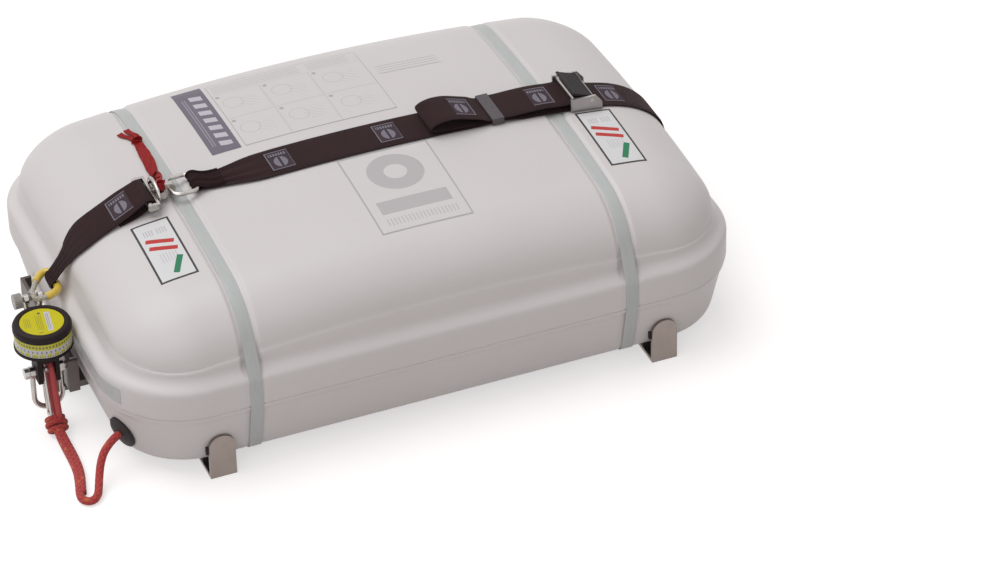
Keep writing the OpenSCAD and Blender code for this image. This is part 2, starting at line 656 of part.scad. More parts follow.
// Long loops that hang on the pin: the red weak link and the steel thimble beside it
function long_loop(x, top, bottom, r) = let (n = 8, axis = unit(bottom - top), out = [axis[1], -axis[0]]) concat(
    [for (k = [0:n]) let (a = 180 * k / n, p = top + r * (out * cos(a) - axis * sin(a))) [x, p[0], p[1]]],
    [for (k = [0:n]) let (a = 180 * k / n, p = bottom + r * (-out * cos(a) + axis * sin(a))) [x, p[0], p[1]]]
);
link_d = 7;
module weak_link() {
    r = (unit_pin_d + link_d) / 2 + 0.3;
    color("firebrick") rope_loop(long_loop(-unit_x + 4, [unit_y, pin_z], [unit_y - 15, 21], r), link_d, 10);
}
thimble_wire = 3.5;
module link_thimble() {
    r = (unit_pin_d + thimble_wire) / 2 + 0.3;
    color("silver") rope_loop(long_loop(-unit_x - 4, [unit_y, pin_z], [unit_y - 14, 20], r), thimble_wire, 8);
}

// Release rope: out of the block and up behind the body to the bow of the upper shackle
upper_pin = [-398, -33, 137];
upper_r = 8;
upper_wire = 5;
release_wire = 6;
release_route = [
    [-400, -62.8, 92], [-400, -55, 92], [-400, -47, 92.5], [-399, -40, 95], [-398.5, -36, 102],
    [-398, -34, 110], [-398, -33, 117.9]
];
// Rope loop from the sleeve over the upper shackle's pin and back
eye_route = [
    [-366.5, -42.3, 136], [-367.5, -47, 136.5], [-374, -50, 138], [-382, -49.5, 139], [-391, -46, 139],
    [-396, -42, 138], [-398, -39.8, 138.4], [-398, -37.7, 141.8], [-398, -33, 143.9], [-398, -28.3, 141.8],
    [-398, -26.2, 137], [-397, -22, 134.5], [-393, -12, 134], [-387, 4, 134], [-381, 17, 134.5],
    [-375, 28, 135.5], [-369, 31.5, 136], [-366.5, 27, 136], [-366.5, 22.4, 136]
];
module release_rope() {
    color("wheat") union() {
        rope(curve(release_route, 2), release_wire, 8);
        rope(curve(eye_route, 2), release_wire, 8);
    }
}
// Sleeve that the webbing's lower eye is sewn around
eye_x = half_l - 1;
eye_z = 136;
sleeve_d = 13;
sleeve_l = web_w + 14;
module rope_sleeve() {
    color("goldenrod") translate([-eye_x, web_y, eye_z]) rotate([90, 0, 0])
        cylinder(d = sleeve_d, h = sleeve_l, center = true);
}
module upper_shackle() {
    bow_drop = 8;
    color("silver") translate(upper_pin) difference() {
        union() {
            for (s = [-1, 1]) {
                translate([s * upper_r, 0, -bow_drop]) cylinder(d = upper_wire, h = bow_drop);
                translate([s * upper_r, 0, 0]) rotate([0, 90, 0]) cylinder(d = 11, h = upper_wire, center = true);
            }
            translate([0, 0, -bow_drop]) rotate([90, 0, 0]) rotate_extrude(angle = -180)
                translate([upper_r, 0]) circle(d = upper_wire, $fn = 24);
        }
        rotate([0, 90, 0]) cylinder(d = 6.1, h = 4 * upper_r, center = true);
    }
}
module upper_shackle_pin() {
    head_l = 9;
    color("silver") translate(upper_pin) rotate([0, 90, 0]) union() {
        translate([0, 0, -upper_r - 5]) cylinder(d = 6, h = 2 * upper_r + 9);
        translate([0, 0, -upper_r - 5 - head_l]) cylinder(d = 17, h = head_l);
    }
}

// Webbing: a ribbon of even thickness along a profile in the XZ plane
function normal2(p, i) = let (t = unit(p[min(i + 1, len(p) - 1)] - p[max(i - 1, 0)])) [-t[1], t[0]];
module across_webbing(w) {
    translate([0, web_y + w / 2, 0]) rotate([90, 0, 0]) linear_extrude(w) children();
}
module ribbon(path) {
    m = len(path);
    polygon(concat(path, [for (i = [m - 1:-1:0]) path[i] + web_t * normal2(path, i)]));
}
function arc2(c, r, from, to, n) = [for (i = [0:n]) let (a = from + (to - from) * i / n) c + r * [cos(a), sin(a)]];
// Point on the shell at a distance from the middle, lifted off along the surface normal
function lay(x, lift = fit) = let (t = round_t(half_l - abs(x), [1, 0]), up = sqrt(1 - t * t))
    [x + sign(x) * lift * t, crown_at(x, 0) - end_round_h * (1 - up) + lift * up];
shoulder_steps = [0, 0.4, 1.5, 4, 8, 14, 22, 32, 44, 58, 72];
function shoulder_x(k) = half_l - round_start - shoulder_steps[k];
last_step = len(shoulder_steps) - 1;

// Short strap: an eye round the sleeve at its foot and one round the hook's bar at its head
hook_x = -258;
hook_z = lay(hook_x)[1] + 11.5;
hook_bar_d = 8;
module strap_short() {
    foot = [-eye_x, eye_z];
    head = [hook_x, hook_z];
    foot_r = sleeve_d / 2 + fit + web_t;
    head_r = hook_bar_d / 2 + fit + web_t;
    color([0.15, 0.1, 0.1]) across_webbing(web_w) difference() {
        union() {
            ribbon(concat(
                [foot + [foot_r, 0], foot + [foot_r + 2.7, 7]],
                [for (k = [0:last_step]) lay(-shoulder_x(k))],
                [lay(hook_x - 10, 1.5), head - [0, head_r]]
            ));
            translate(foot) circle(foot_r);
            translate(head) circle(head_r);
        }
        translate(foot) circle(foot_r - web_t);
        translate(head) circle(head_r - web_t);
    }
}

// Lashing ring between the hook and the main strap
ring_x0 = -228;
ring_x1 = -199;
ring_y = 34;
ring_z = hook_z + 1;
module wire_ring(lx, ly, r, d) {
    for (s = [-1, 1]) {
        translate([0, s * ly / 2, 0]) rotate([0, 90, 0]) cylinder(d = d, h = lx - 2 * r, center = true, $fn = 24);
        translate([s * lx / 2, 0, 0]) rotate([90, 0, 0]) cylinder(d = d, h = ly - 2 * r, center = true, $fn = 24);
        for (q = [-1, 1]) translate([s * (lx / 2 - r), q * (ly / 2 - r), 0])
            rotate([0, 0, s > 0 ? (q > 0 ? 0 : -90) : (q > 0 ? 90 : 180)])
                rotate_extrude(angle = 90) translate([r, 0]) circle(d = d, $fn = 24);
    }
}
module lashing_ring() {
    color("silver") translate([(ring_x0 + ring_x1) / 2, web_y, ring_z])
        wire_ring(ring_x1 - ring_x0, ring_y, 8, ring_wire_d);
}

// Buckle places: the bar that the main strap turns back round, and the bar of the end strap
turn_x = 254;
turn_d = 6;
turn_r = turn_d / 2 + fit + web_t;
turn_z = lay(turn_x)[1] + turn_r;
end_bar_x = turn_x + 15;
end_bar_z = lay(end_bar_x)[1] + turn_r;
cam_x = turn_x + 8;
cam_z = turn_z + 6.9;
guide_x = turn_x - 11;
guide_d = 5;
keeper_x = 150;
keeper_w = 14;
keeper_t = 1;

// Main strap: gathered to the ring, along the crown, round the buckle's bar and back as a folded tail
keeper_low = lay(keeper_x - keeper_w / 2)[1];
run_over_keeper = keeper_low + keeper_t + fit;
tail_top = run_over_keeper + 2 * web_t + fit;
function above(x, up) = [x, lay(x)[1] + up];
module strap_main() {
    eye = [ring_x1, ring_z];
    eye_r = ring_wire_d / 2 + fit + web_t;
    eye_w = ring_y - 20;
    run = concat(
        [for (x = [-180:20:120]) lay(x)],
        [for (side = [-1, 1]) [keeper_x + side * (keeper_w / 2 + 1), run_over_keeper]],
        [for (x = [180:20:240]) lay(x)],
        arc2([turn_x, turn_z], turn_r, -90, 90, 10)
    );
    tail = concat(
        [[turn_x - 12, turn_z + turn_r + 0.5], above(228, 11), above(212, 14.5), above(197, 15), above(180, 11.5),
         above(167, 8.7)],
        [for (side = [1, -1]) [keeper_x + side * (keeper_w / 2 + 1), tail_top]],
        [above(132, 9.5), above(120, 12.5), above(104, 16.5), above(90, 16.5), above(80, 14),
         above(74.5, 9.5), above(75, 6), above(81, 4), above(95, 3.4), above(112, 3.4), above(122, 3.3)]
    );
    color([0.15, 0.1, 0.1]) union() {
        across_webbing(web_w) ribbon(concat(run, tail));
        across_webbing(eye_w) difference() {
            union() {
                ribbon([eye - [0, eye_r], lay(-190, 1.2), lay(-180)]);
                translate(eye) circle(eye_r);
            }
            translate(eye) circle(eye_r - web_t);
        }
    }
}

// End strap: from the buckle over the far end, through the end bracket's slot and sewn back
slot_z = upright_top - 14;
module strap_end() {
    bar = [end_bar_x, end_bar_z];
    rim_x = half_l + 1.8;
    down = [
        [rim_x - 12.5, rim_z + 16], [rim_x - 4, rim_z + 7], [rim_x, rim_z - 2], [rim_x, seam_z + 2],
        [rim_x + 1.2, seam_z - 5], [rim_x + 3.2, slot_z + 5.5], [bracket_x - bar_t, slot_z + 1],
        [bracket_x + 0.5, slot_z - 0.6]
    ];
    back = [
        [bracket_x + 0.5, slot_z - 0.6], [bracket_x + 4.5, slot_z + 1.5], [bracket_x + 6, slot_z + 7],
        [bracket_x + 5, slot_z + 15], [bracket_x + 1, slot_z + 23], [rim_x + 5.4, slot_z + 32],
        [rim_x + 4.6, slot_z + 40], [rim_x + 4.6, rim_z - 4]
    ];
    color([0.15, 0.1, 0.1]) across_webbing(web_w) difference() {
        union() {
            ribbon(concat(
                [bar - [0, turn_r], lay(end_bar_x + 9, 1)],
                [for (k = [last_step - 1:-1:0]) lay(shoulder_x(k))], down
            ));
            ribbon(back);
            translate(bar) circle(turn_r);
        }
        translate(bar) circle(turn_r - web_t);
    }
}

// Keeper round the main strap and its tail
module strap_keeper() {
    low = keeper_low;
    high = tail_top + fit;
    color("lightslategray") translate([keeper_x, web_y, 0]) difference() {
        translate([-keeper_w / 2, -web_w / 2 - keeper_t - fit, low])
            cube([keeper_w, web_w + 2 * (keeper_t + fit), high + keeper_t - low]);
        translate([-keeper_w, -web_w / 2 - fit, low + keeper_t])
            cube([2 * keeper_w, web_w + 2 * fit, high - low - keeper_t]);
    }
}

// Slip hook: a yoke with the strap's bar, a tongue that holds the ring, a keeper link and the hinge pin
hinge_x = -238;
yoke_t = 7;
shank_w = 18;
tongue_w = 7;
yoke_w = web_w + 9;
module hook_body() {
    color("silver") translate([0, web_y, hook_z]) difference() {
        union() {
            translate([hook_x, 0, 0]) rotate([90, 0, 0]) cylinder(d = hook_bar_d, h = yoke_w, center = true);
            for (s = [-1, 1]) translate([hook_x, s * (yoke_w / 2 - 2) - 2, -yoke_t / 2]) cube([8, 4, yoke_t]);
            translate([0, 0, -yoke_t / 2]) linear_extrude(yoke_t) polygon([
                [hook_x + 7.2, -yoke_w / 2], [hook_x + 10.2, -yoke_w / 2], [hook_x + 10.2, -shank_w / 2],
                [hinge_x + 5, -shank_w / 2], [hinge_x + 5, shank_w / 2], [hook_x + 10.2, shank_w / 2],
                [hook_x + 10.2, yoke_w / 2], [hook_x + 7.2, yoke_w / 2]
            ]);
        }
        translate([hinge_x - 7, -tongue_w / 2 - 0.2, -yoke_t]) cube([20, tongue_w + 0.4, 2 * yoke_t]);
        translate([hinge_x, 0, 0]) rotate([90, 0, 0]) cylinder(d = hook_pin_d + 0.1, h = 2 * shank_w, center = true);
    }
}
module hook_tongue() {
    hub_r = 5;
    pocket = [ring_x0, 1];
    pocket_r = ring_wire_d / 2 + 0.3;
    color("silver") translate([0, web_y, hook_z]) translate([0, tongue_w / 2, 0]) rotate([90, 0, 0])
        linear_extrude(tongue_w) difference() {
            union() {
                translate([hinge_x, 0]) circle(hub_r);
                translate(pocket) circle(pocket_r + 3.5);
                polygon([
                    [hinge_x, -hub_r], [ring_x0, -5.2], [ring_x0, 0], [hinge_x, 2]
                ]);
                polygon([
                    [ring_x0, 7.2], [ring_x0 - 3, 4], [hinge_x, 6.6], [hinge_x - 11, 6.9], [hinge_x - 11, 9.6],
                    [hinge_x, 9.8]
                ]);
            }
            translate(pocket) circle(pocket_r);
            translate([hinge_x, 0]) circle(d = hook_pin_d + 0.1);
        }
}
module hook_link() {
    wire = 3.5;
    link_x = hinge_x - 7.2;
    low = -yoke_t / 2 - fit - wire / 2;
    high = 9.9 + wire / 2;
    wide = 34 + wire;
    color("silver") translate([link_x, web_y, hook_z + (low + high) / 2]) rotate([0, 90, 0])
        wire_ring(high - low, wide, 5, wire);
}
module hook_pin() {
    color("silver") translate([hinge_x, web_y, hook_z]) rotate([90, 0, 0]) union() {
        cylinder(d = hook_pin_d, h = shank_w + 2, center = true);
        for (s = [-1, 1]) translate([0, 0, s * (shank_w / 2 + 1.1)]) cylinder(d = hook_pin_d + 4, h = 2, center = true);
    }
}

// Seal tape that ties the hook to the left band, with its knot and free end
tape_w = 11;
tape_t = 0.8;
tape_lift = 1.1;
module tape(points) {
    m = len(points);
    verts = [for (p = points) each [
        p + [tape_w / 2, 0, 0], p + [tape_w / 2, 0, tape_t], p + [-tape_w / 2, 0, tape_t], p + [-tape_w / 2, 0, 0]
    ]];
    polyhedron(verts, concat(
        [[3, 2, 1], [3, 1, 0]],
        [for (i = [0:m - 2]) for (k = [0:3]) let (a = 4 * i + k, b = 4 * i + (k + 1) % 4)
            for (f = [[a, b, b + 4], [a, b + 4, a + 4]]) f],
        [[4 * m - 4, 4 * m - 3, 4 * m - 2], [4 * m - 4, 4 * m - 2, 4 * m - 1]]
    ));
}
function on_crown(x, y, lift) = [x, y, crown_at(x, y) + lift];
tape_knot = [-227, 107];
module seal_tape() {
    knot_d = 12;
    color("red") union() {
        tape([on_crown(-233, 12, 3), for (y = [20:12:92]) on_crown(-232 + (y - 20) * 0.07, y, tape_lift),
            on_crown(tape_knot[0], tape_knot[1] - 6.5, 2)]);
        tape([on_crown(tape_knot[0] - 3, tape_knot[1] + 6.5, 2), on_crown(-233, 122, tape_lift),
            on_crown(-238, 134, tape_lift)]);
        translate(on_crown(tape_knot[0], tape_knot[1], tape_lift + 0.3)) cylinder(d = knot_d, h = 5);
    }
}

// Cam buckle: side plates with three bars, a sprung cam lever and its pin
plate_y = web_w / 2 + 0.6;
plate_t = 2.5;
module buckle_bar(x, z, d) {
    translate([x, web_y, z]) rotate([90, 0, 0]) cylinder(d = d, h = 2 * plate_y + 2, center = true);
}
module buckle_frame() {
    guide_z = turn_z + turn_r + fit + guide_d / 2 + 0.4;
    color("silver") difference() {
        union() {
            for (s = [-1, 1]) translate([0, s * (plate_y + plate_t / 2) + plate_t / 2, 0])
                translate([0, web_y, 0]) rotate([90, 0, 0]) linear_extrude(plate_t) polygon([
                    lay(guide_x - 6, 1.2), lay(end_bar_x + 6, 1.2), [end_bar_x + 6, end_bar_z + 3],
                    [cam_x + 5, cam_z + 4.5], [cam_x - 4, cam_z + 4.5], [guide_x + 2, guide_z + 3.5],
                    [guide_x - 6, guide_z + 3.5]
                ]);
            buckle_bar(turn_x, turn_z, turn_d);
            buckle_bar(end_bar_x, end_bar_z, turn_d);
            buckle_bar(guide_x, guide_z, guide_d);
        }
        translate([cam_x, web_y, cam_z]) rotate([90, 0, 0]) cylinder(d = cam_pin_d + 0.1, h = 2 * web_w, center = true);
    }
}
module buckle_cam() {
    hub_r = 4;
    cam_w = web_w - 1;
    color("dimgray") translate([cam_x, web_y + cam_w / 2, cam_z]) rotate([90, 0, 0]) linear_extrude(cam_w)
        difference() {
            union() {
                circle(hub_r);
                polygon([[0, hub_r], [-2, 2.5], [-19, 7.6], [-22, 10.8], [-19.6, 12], [-17, 10.2]]);
            }
            circle(d = cam_pin_d + 0.1);
        }
}
module buckle_pin() {
    color("silver") translate([cam_x, web_y, cam_z]) rotate([90, 0, 0])
        cylinder(d = cam_pin_d, h = 2 * (plate_y + plate_t) + 2, center = true);
}

lower_shell();
upper_shell();
rim_seal();
burst_band(-band_x);  // burst_band_left
burst_band(band_x);  // burst_band_right
band_crimps();
raft_pack();
gas_cylinder();
inflation_head();
equipment_bag();
painter_coil();
painter_grommet();
painter_line();
painter_splice();
painter_knot();
cross_rail(-rail_x);  // cross_rail_left
cross_rail(rail_x);  // cross_rail_right
rail_pads();
clip_liners();
spine_bar();
end_bracket(-1, true);  // end_bracket_left
end_bracket(1, false);  // end_bracket_right
bracket_bolts();
unit_body();
unit_cap();
unit_label();
unit_side_label();
unit_block();
unit_knife();
unit_spring();
unit_pin();
unit_shackle();
weak_link();
link_thimble();
release_rope();
rope_sleeve();
upper_shackle();
upper_shackle_pin();
strap_short();
strap_main();
strap_end();
strap_keeper();
hook_body();
hook_tongue();
hook_link();
hook_pin();
lashing_ring();
seal_tape();
buckle_frame();
buckle_cam();
buckle_pin();
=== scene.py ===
import math
from functools import partial

import bpy
from mathutils import Matrix, Vector


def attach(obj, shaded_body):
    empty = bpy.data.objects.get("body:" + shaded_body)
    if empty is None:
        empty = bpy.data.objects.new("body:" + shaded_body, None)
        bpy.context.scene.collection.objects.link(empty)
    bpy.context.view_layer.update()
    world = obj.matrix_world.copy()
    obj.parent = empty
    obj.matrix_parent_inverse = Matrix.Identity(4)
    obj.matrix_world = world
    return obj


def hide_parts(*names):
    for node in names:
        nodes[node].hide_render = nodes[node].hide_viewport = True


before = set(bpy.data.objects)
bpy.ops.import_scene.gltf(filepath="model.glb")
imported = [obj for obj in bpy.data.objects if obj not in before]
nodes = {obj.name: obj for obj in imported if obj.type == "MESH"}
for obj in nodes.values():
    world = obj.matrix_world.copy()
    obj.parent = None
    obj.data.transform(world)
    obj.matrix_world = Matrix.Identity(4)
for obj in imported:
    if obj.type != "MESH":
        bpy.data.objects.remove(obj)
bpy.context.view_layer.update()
MM = 0.001

# Camera: a long lens looks down on the left front corner of the canister, from the
# side of the painter's outlet, so that the lid, the lashing and the release unit show.
aim = Vector((0.0796, -0.2074, 0.1356))
camera_distance = 4.846
azimuth, elevation, roll = (math.radians(a) for a in (-21.7, 35.8, -1.2))
backward = Vector(
    (
        math.sin(azimuth) * math.cos(elevation),
        -math.cos(azimuth) * math.cos(elevation),
        math.sin(elevation),
    )
)
level_right = Vector((math.cos(azimuth), math.sin(azimuth), 0))
level_up = backward.cross(level_right)
right = level_right * math.cos(roll) + level_up * math.sin(roll)
up = -level_right * math.sin(roll) + level_up * math.cos(roll)
camera_data = bpy.data.cameras.new("camera")
camera_data.lens = 160.06
camera_data.sensor_width = 36
camera_data.clip_end = 50
camera = bpy.data.objects.new("camera", camera_data)
bpy.context.scene.collection.objects.link(camera)
place = aim + backward * camera_distance
camera.matrix_world = Matrix(
    (
        (right.x, up.x, backward.x, place.x),
        (right.y, up.y, backward.y, place.y),
        (right.z, up.z, backward.z, place.z),
        (0, 0, 0, 1),
    )
)
bpy.context.scene.camera = camera

# Painter: a 9 mm braided polyester line with a tuft of fleck yarn. It leaves the rubber
# grommet, drops to the deck and runs back along it, where it is tied to the weak link.


def smooth(points, steps):
    """Points of a Catmull-Rom curve through the given ones."""
    out = []
    last = len(points) - 1
    for i in range(last):
        a, b = points[max(i - 1, 0)], points[i]
        c, d = points[i + 1], points[min(i + 2, last)]
        for k in range(steps):
            s = k / steps
            out.append(
                0.5
                * (
                    2 * b
                    + (c - a) * s
                    + (2 * a - 5 * b + 4 * c - d) * s * s
                    + (3 * b - a - 3 * c + d) * s * s * s
                )
            )
    out.append(points[last])
    return out


def new_piece(name, verts, faces, uvs=None):
    """An object at the origin from points and faces, with a UV pair for each corner."""
    mesh = bpy.data.meshes.new(name)
    mesh.from_pydata([tuple(v) for v in verts], [], faces)
    mesh.validate()
    if uvs is not None:
        layer = mesh.uv_layers.new(name="UVMap")
        for loop in mesh.loops:
            layer.data[loop.index].uv = uvs[loop.vertex_index]
    for polygon in mesh.polygons:
        polygon.use_smooth = True
    piece = bpy.data.objects.new(name, mesh)
    bpy.context.scene.collection.objects.link(piece)
    return piece


def merge(piece, nearness):
    """Joins the points that lie together, and turns the faces outwards."""
    bpy.ops.object.select_all(action="DESELECT")
    piece.select_set(True)
    bpy.context.view_layer.objects.active = piece
    bpy.ops.object.mode_set(mode="EDIT")
    bpy.ops.mesh.select_all(action="SELECT")
    bpy.ops.mesh.remove_doubles(threshold=nearness)
    bpy.ops.mesh.normals_make_consistent(inside=False)
    bpy.ops.object.mode_set(mode="OBJECT")


def stations(path):
    """Each point of a path, the way on from there, and the distance run so far."""
    run = 0.0
    for i, point in enumerate(path):
        if i:
            run += (point - path[i - 1]).length
        ahead = path[min(i + 1, len(path) - 1)] - path[max(i - 1, 0)]
        yield point, ahead.normalized(), run


def rope_tube(name, path, diameter, sides=16, ends=True):
    """A round tube along a path. Its UV map has turns across and metres along."""
    side = Vector((0, 0, 1)).cross(path[1] - path[0])
    if side.length < 1e-6:
        side = Vector((1, 0, 0))
    side.normalize()
    verts, uvs = [], []
    for point, way, run in stations(path):
        side = (side - way * side.dot(way)).normalized()
        over = way.cross(side)
        for k in range(sides + 1):
            a = 2 * math.pi * k / sides
            verts.append(point + (side * math.cos(a) + over * math.sin(a)) * diameter / 2)
            uvs.append((k / sides, run))
    row = sides + 1
    faces = []
    for i in range(len(path) - 1):
        for k in range(sides):
            a = i * row + k
            faces.append((a, a + 1, a + 1 + row, a + row))
    if ends:
        faces.append(tuple(reversed(range(sides))))
        base = (len(path) - 1) * row
        faces.append(tuple(range(base, base + sides)))
    piece = new_piece(name, verts, faces, uvs)
    merge(piece, 1e-6)
    return piece


def blank_material(name):
    """A new node material, its tree and its shader."""
    material = bpy.data.materials.new(name)
    material.use_nodes = True
    tree = material.node_tree
    return material, tree, tree.nodes["Principled BSDF"]


def node(tree, kind, values=None, **settings):
    made = tree.nodes.new(kind)
    for key, value in settings.items():
        setattr(made, key, value)
    for key, value in (values or {}).items():
        if isinstance(value, bpy.types.NodeSocket):
            tree.links.new(value, made.inputs[key])
        else:
            made.inputs[key].default_value = value
    return made


def maths(operation, *values):
    """A Math node, in the tree that one of its values comes from."""
    tree = next(v.id_data for v in values if isinstance(v, bpy.types.NodeSocket))
    made = node(tree, "ShaderNodeMath", dict(enumerate(values)), operation=operation)
    return made.outputs[0]


plus, minus = partial(maths, "ADD"), partial(maths, "SUBTRACT")
times, divided = partial(maths, "MULTIPLY"), partial(maths, "DIVIDE")
power, unsigned = partial(maths, "POWER"), partial(maths, "ABSOLUTE")
fraction, floored = partial(maths, "FRACT"), partial(maths, "FLOOR")
sine, below = partial(maths, "SINE"), partial(maths, "LESS_THAN")


def blend_colours(share, first, second):
    """A colour from the first to the second, each a socket or three numbers."""
    colours = {0: share}
    for key, value in ((6, first), (7, second)):
        colours[key] = value if isinstance(value, bpy.types.NodeSocket) else (*value, 1)
    return node(share.id_data, "ShaderNodeMix", colours, data_type="RGBA").outputs[2]


def parts_of(vector):
    return node(vector.id_data, "ShaderNodeSeparateXYZ", {"Vector": vector}).outputs[:]


def uv_parts(tree):
    """The two coordinates of a piece's own UV map."""
    return parts_of(node(tree, "ShaderNodeUVMap", uv_map="UVMap").outputs[0])[:2]


def bump_from(shader, height, distance, strength=1.0):
    tree = shader.id_data
    relief = {"Height": height, "Distance": distance, "Strength": strength}
    tree.links.new(node(tree, "ShaderNodeBump", relief).outputs[0], shader.inputs["Normal"])


def surface(shader, colour, roughness, **others):
    """Gives a shader its colour, its roughness and what else is the same all over."""
    shader.id_data.links.new(colour, shader.inputs["Base Color"])
    shader.inputs["Roughness"].default_value = roughness
    for key, value in others.items():
        shader.inputs[key.replace("_", " ")].default_value = value


def braided(name, colour, shade, fleck, pitch, strands, fleck_share):
    """Braid: two sets of strands that cross, with a few of another colour, and painted shade in
    the hollows between the strands.
    """
    material, tree, shader = blank_material(name)
    around, along = uv_parts(tree)
    turn, step = times(around, float(strands)), divided(along, pitch)
    one, two = plus(turn, step), minus(turn, step)
    height = times(*(unsigned(sine(times(way, math.pi))) for way in (one, two)))
    # The shade colour is painted shade: it darkens the low hollows between the strands.
    shaded_body = blend_colours(power(height, 0.5), shade, colour)
    chance = fraction(plus(times(floored(one), 0.37), times(floored(two), 0.213)))
    flecked = times(below(chance, fleck_share), 0.85)
    surface(shader, blend_colours(flecked, shaded_body, fleck), 0.75, Sheen_Weight=0.2)
    bump_from(shader, height, 0.0006)
    return material


def route(rows, steps):
    """A smooth path through points given in millimetres."""
    return smooth([Vector(row) * MM for row in rows], steps)


def finish_piece(piece, material):
    piece.data.materials.clear()
    piece.data.materials.append(material)
    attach(piece, "canister")


painter_d = 9 * MM
# Its second colour is the painted shade in the braid's hollows.
painter_braid = braided(
    "painter_braid", (0.53, 0.052, 0.046), (0.30, 0.022, 0.020), (0.56, 0.12, 0.04),
    pitch=0.0072, strands=5, fleck_share=0.09,
)
painter_path = route([
    (-353, -182, 43), (-360, -184, 41), (-368, -187.5, 37.5), (-377, -193, 31.5),
    (-384, -201, 23.5), (-389, -210, 15.5), (-393, -219, 9.5), (-397, -227.5, 6),
    (-403, -233.5, 4.8), (-410, -233.5, 4.6), (-414.5, -227.5, 4.6), (-414.5, -219, 4.7),
    (-411.5, -207, 5), (-408.2, -194, 5), (-405.6, -180, 5), (-404.3, -165, 5),
    (-404, -150, 5), (-404, -135, 5.4), (-404, -121, 6.6), (-404, -108, 10),
], 4)
painter = rope_tube("painter", painter_path, painter_d)
finish_piece(painter, painter_braid)
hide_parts("painter_line")
tail_path = route([
    (-411, -219, 5.0), (-408.2, -208, 5.6), (-404.4, -194, 5.8), (-401.6, -180, 5.8),
    (-400.1, -165, 5.8), (-399.6, -150, 5.8), (-399.6, -135, 5.9), (-400, -121, 7.2),
    (-400.6, -108, 10),
], 5)
tail_d = 8 * MM
painter_tail = rope_tube("painter_tail", tail_path, tail_d)
finish_piece(painter_tail, painter_braid)
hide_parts("painter_splice")

# Painter's hitch: three tight turns of the same line round its own strands, close under
# the weak link, with the last turn laid over the others.
hitch_turns = []
hitch_centre, hitch_lean = Vector((-402, -99, 12)) * MM, -62
hitch_flat, hitch_thin, deck_gap = 0.62, 0.72, 0.0006
for turn, (lift, wide, tilt) in enumerate(
    ((-7.5, 9.0, 8), (-0.5, 9.8, -6), (6.5, 8.6, 10))
):
    lean = Matrix.Rotation(math.radians(hitch_lean + tilt), 3, "X")
    ring = []
    for k in range(33):
        a = 2 * math.pi * k / 32
        flat = Vector((wide * math.cos(a), wide * hitch_flat * math.sin(a), lift * 0.9))
        ring.append(hitch_centre + lean @ (flat * MM))
    hitch_turns.append(rope_tube(f"hitch_turn_{turn}", ring, painter_d * hitch_thin, 12, False))
for extra in hitch_turns:
    low = min(v.co.z for v in extra.data.vertices)
    if low < deck_gap:
        for v in extra.data.vertices:
            v.co.z += deck_gap - low
    finish_piece(extra, painter_braid)
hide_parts("painter_knot")

# Release rope: pale braided line of 6 mm that comes out of the release unit's block, goes
# up behind the unit and is seized on the bow of the upper shackle.
release_d = 6 * MM
# Its second colour is the painted shade in the braid's hollows.
pale_braid = braided(
    "pale_braid", (0.62, 0.58, 0.50), (0.32, 0.29, 0.24), (0.52, 0.47, 0.38),
    pitch=0.005, strands=4, fleck_share=0.08,
)
release_path = route([
    (-400, -62.8, 92), (-400, -55, 92), (-400, -47, 92.5), (-399, -40, 95),
    (-398.5, -36, 102), (-398, -34, 110), (-398, -33, 117.9),
], 5)
release_rope = rope_tube("release_rope_line", release_path, release_d, 12)
finish_piece(release_rope, pale_braid)
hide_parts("release_rope")
eye_path = route([
    (-366.5, -21, 136), (-367.6, -26.5, 136.3), (-371.5, -32, 137), (-377, -36.5, 138),
    (-383.5, -39.6, 138.8), (-390, -40.6, 139), (-395, -40.2, 139.2), (-397.6, -38.6, 141.0),
    (-398, -33, 143.9), (-398, -28.3, 141.8), (-397.6, -26.4, 137.5), (-395.5, -21, 135),
    (-391, -13, 134.2), (-386, -4, 134.2), (-380, 4, 134.9), (-374, 8.6, 135.6),
    (-368.5, 8, 136), (-366.5, 3, 136),
], 4)
eye_rope = rope_tube("upper_eye_rope", eye_path, release_d, 12)
finish_piece(eye_rope, pale_braid)

# Sleeves: yellow plastic tube slid over the eye rope where it leaves the webbing's eye
# and turns down towards the shackle, cut square at both ends.


def object_place(tree, **moved):
    """Object coordinates, through a Mapping node where the pattern is moved or stretched."""
    place = node(tree, "ShaderNodeTexCoord").outputs["Object"]
    if moved:
        place = node(tree, "ShaderNodeMapping", {"Vector": place, **moved}).outputs[0]
    return place


def clouds(tree, scale, detail=2.0, roughness=0.5, **moved):
    """Soft cloudy noise over a piece, from 0 to 1."""
    values = {"Scale": scale, "Detail": detail, "Roughness": roughness}
    values["Vector"] = object_place(tree, **moved)
    return node(tree, "ShaderNodeTexNoise", values).outputs[0]


sleeve_material, tree, shader = blank_material("yellow_sleeve")
sleeve_tone = blend_colours(clouds(tree, 90.0, 3.0), (0.62, 0.40, 0.03), (0.88, 0.66, 0.10))
surface(shader, sleeve_tone, 0.32, Coat_Weight=0.4)
sleeve_path = route([
    (-384.5, -39.9, 138.8), (-381, -38.7, 138.5), (-377, -36.5, 138), (-371.5, -32, 137),
    (-367.6, -26.5, 136.3), (-366.5, -21, 136), (-366.5, -10, 136), (-366.5, 3, 136),
    (-368.5, 8, 136), (-374, 8.6, 135.6), (-380, 4, 134.9), (-385, -2.3, 134.3),
], 5)
sleeve = rope_tube("eye_sleeve", sleeve_path, 9.0 * MM, 20)
finish_piece(sleeve, sleeve_material)
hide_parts("rope_sleeve")

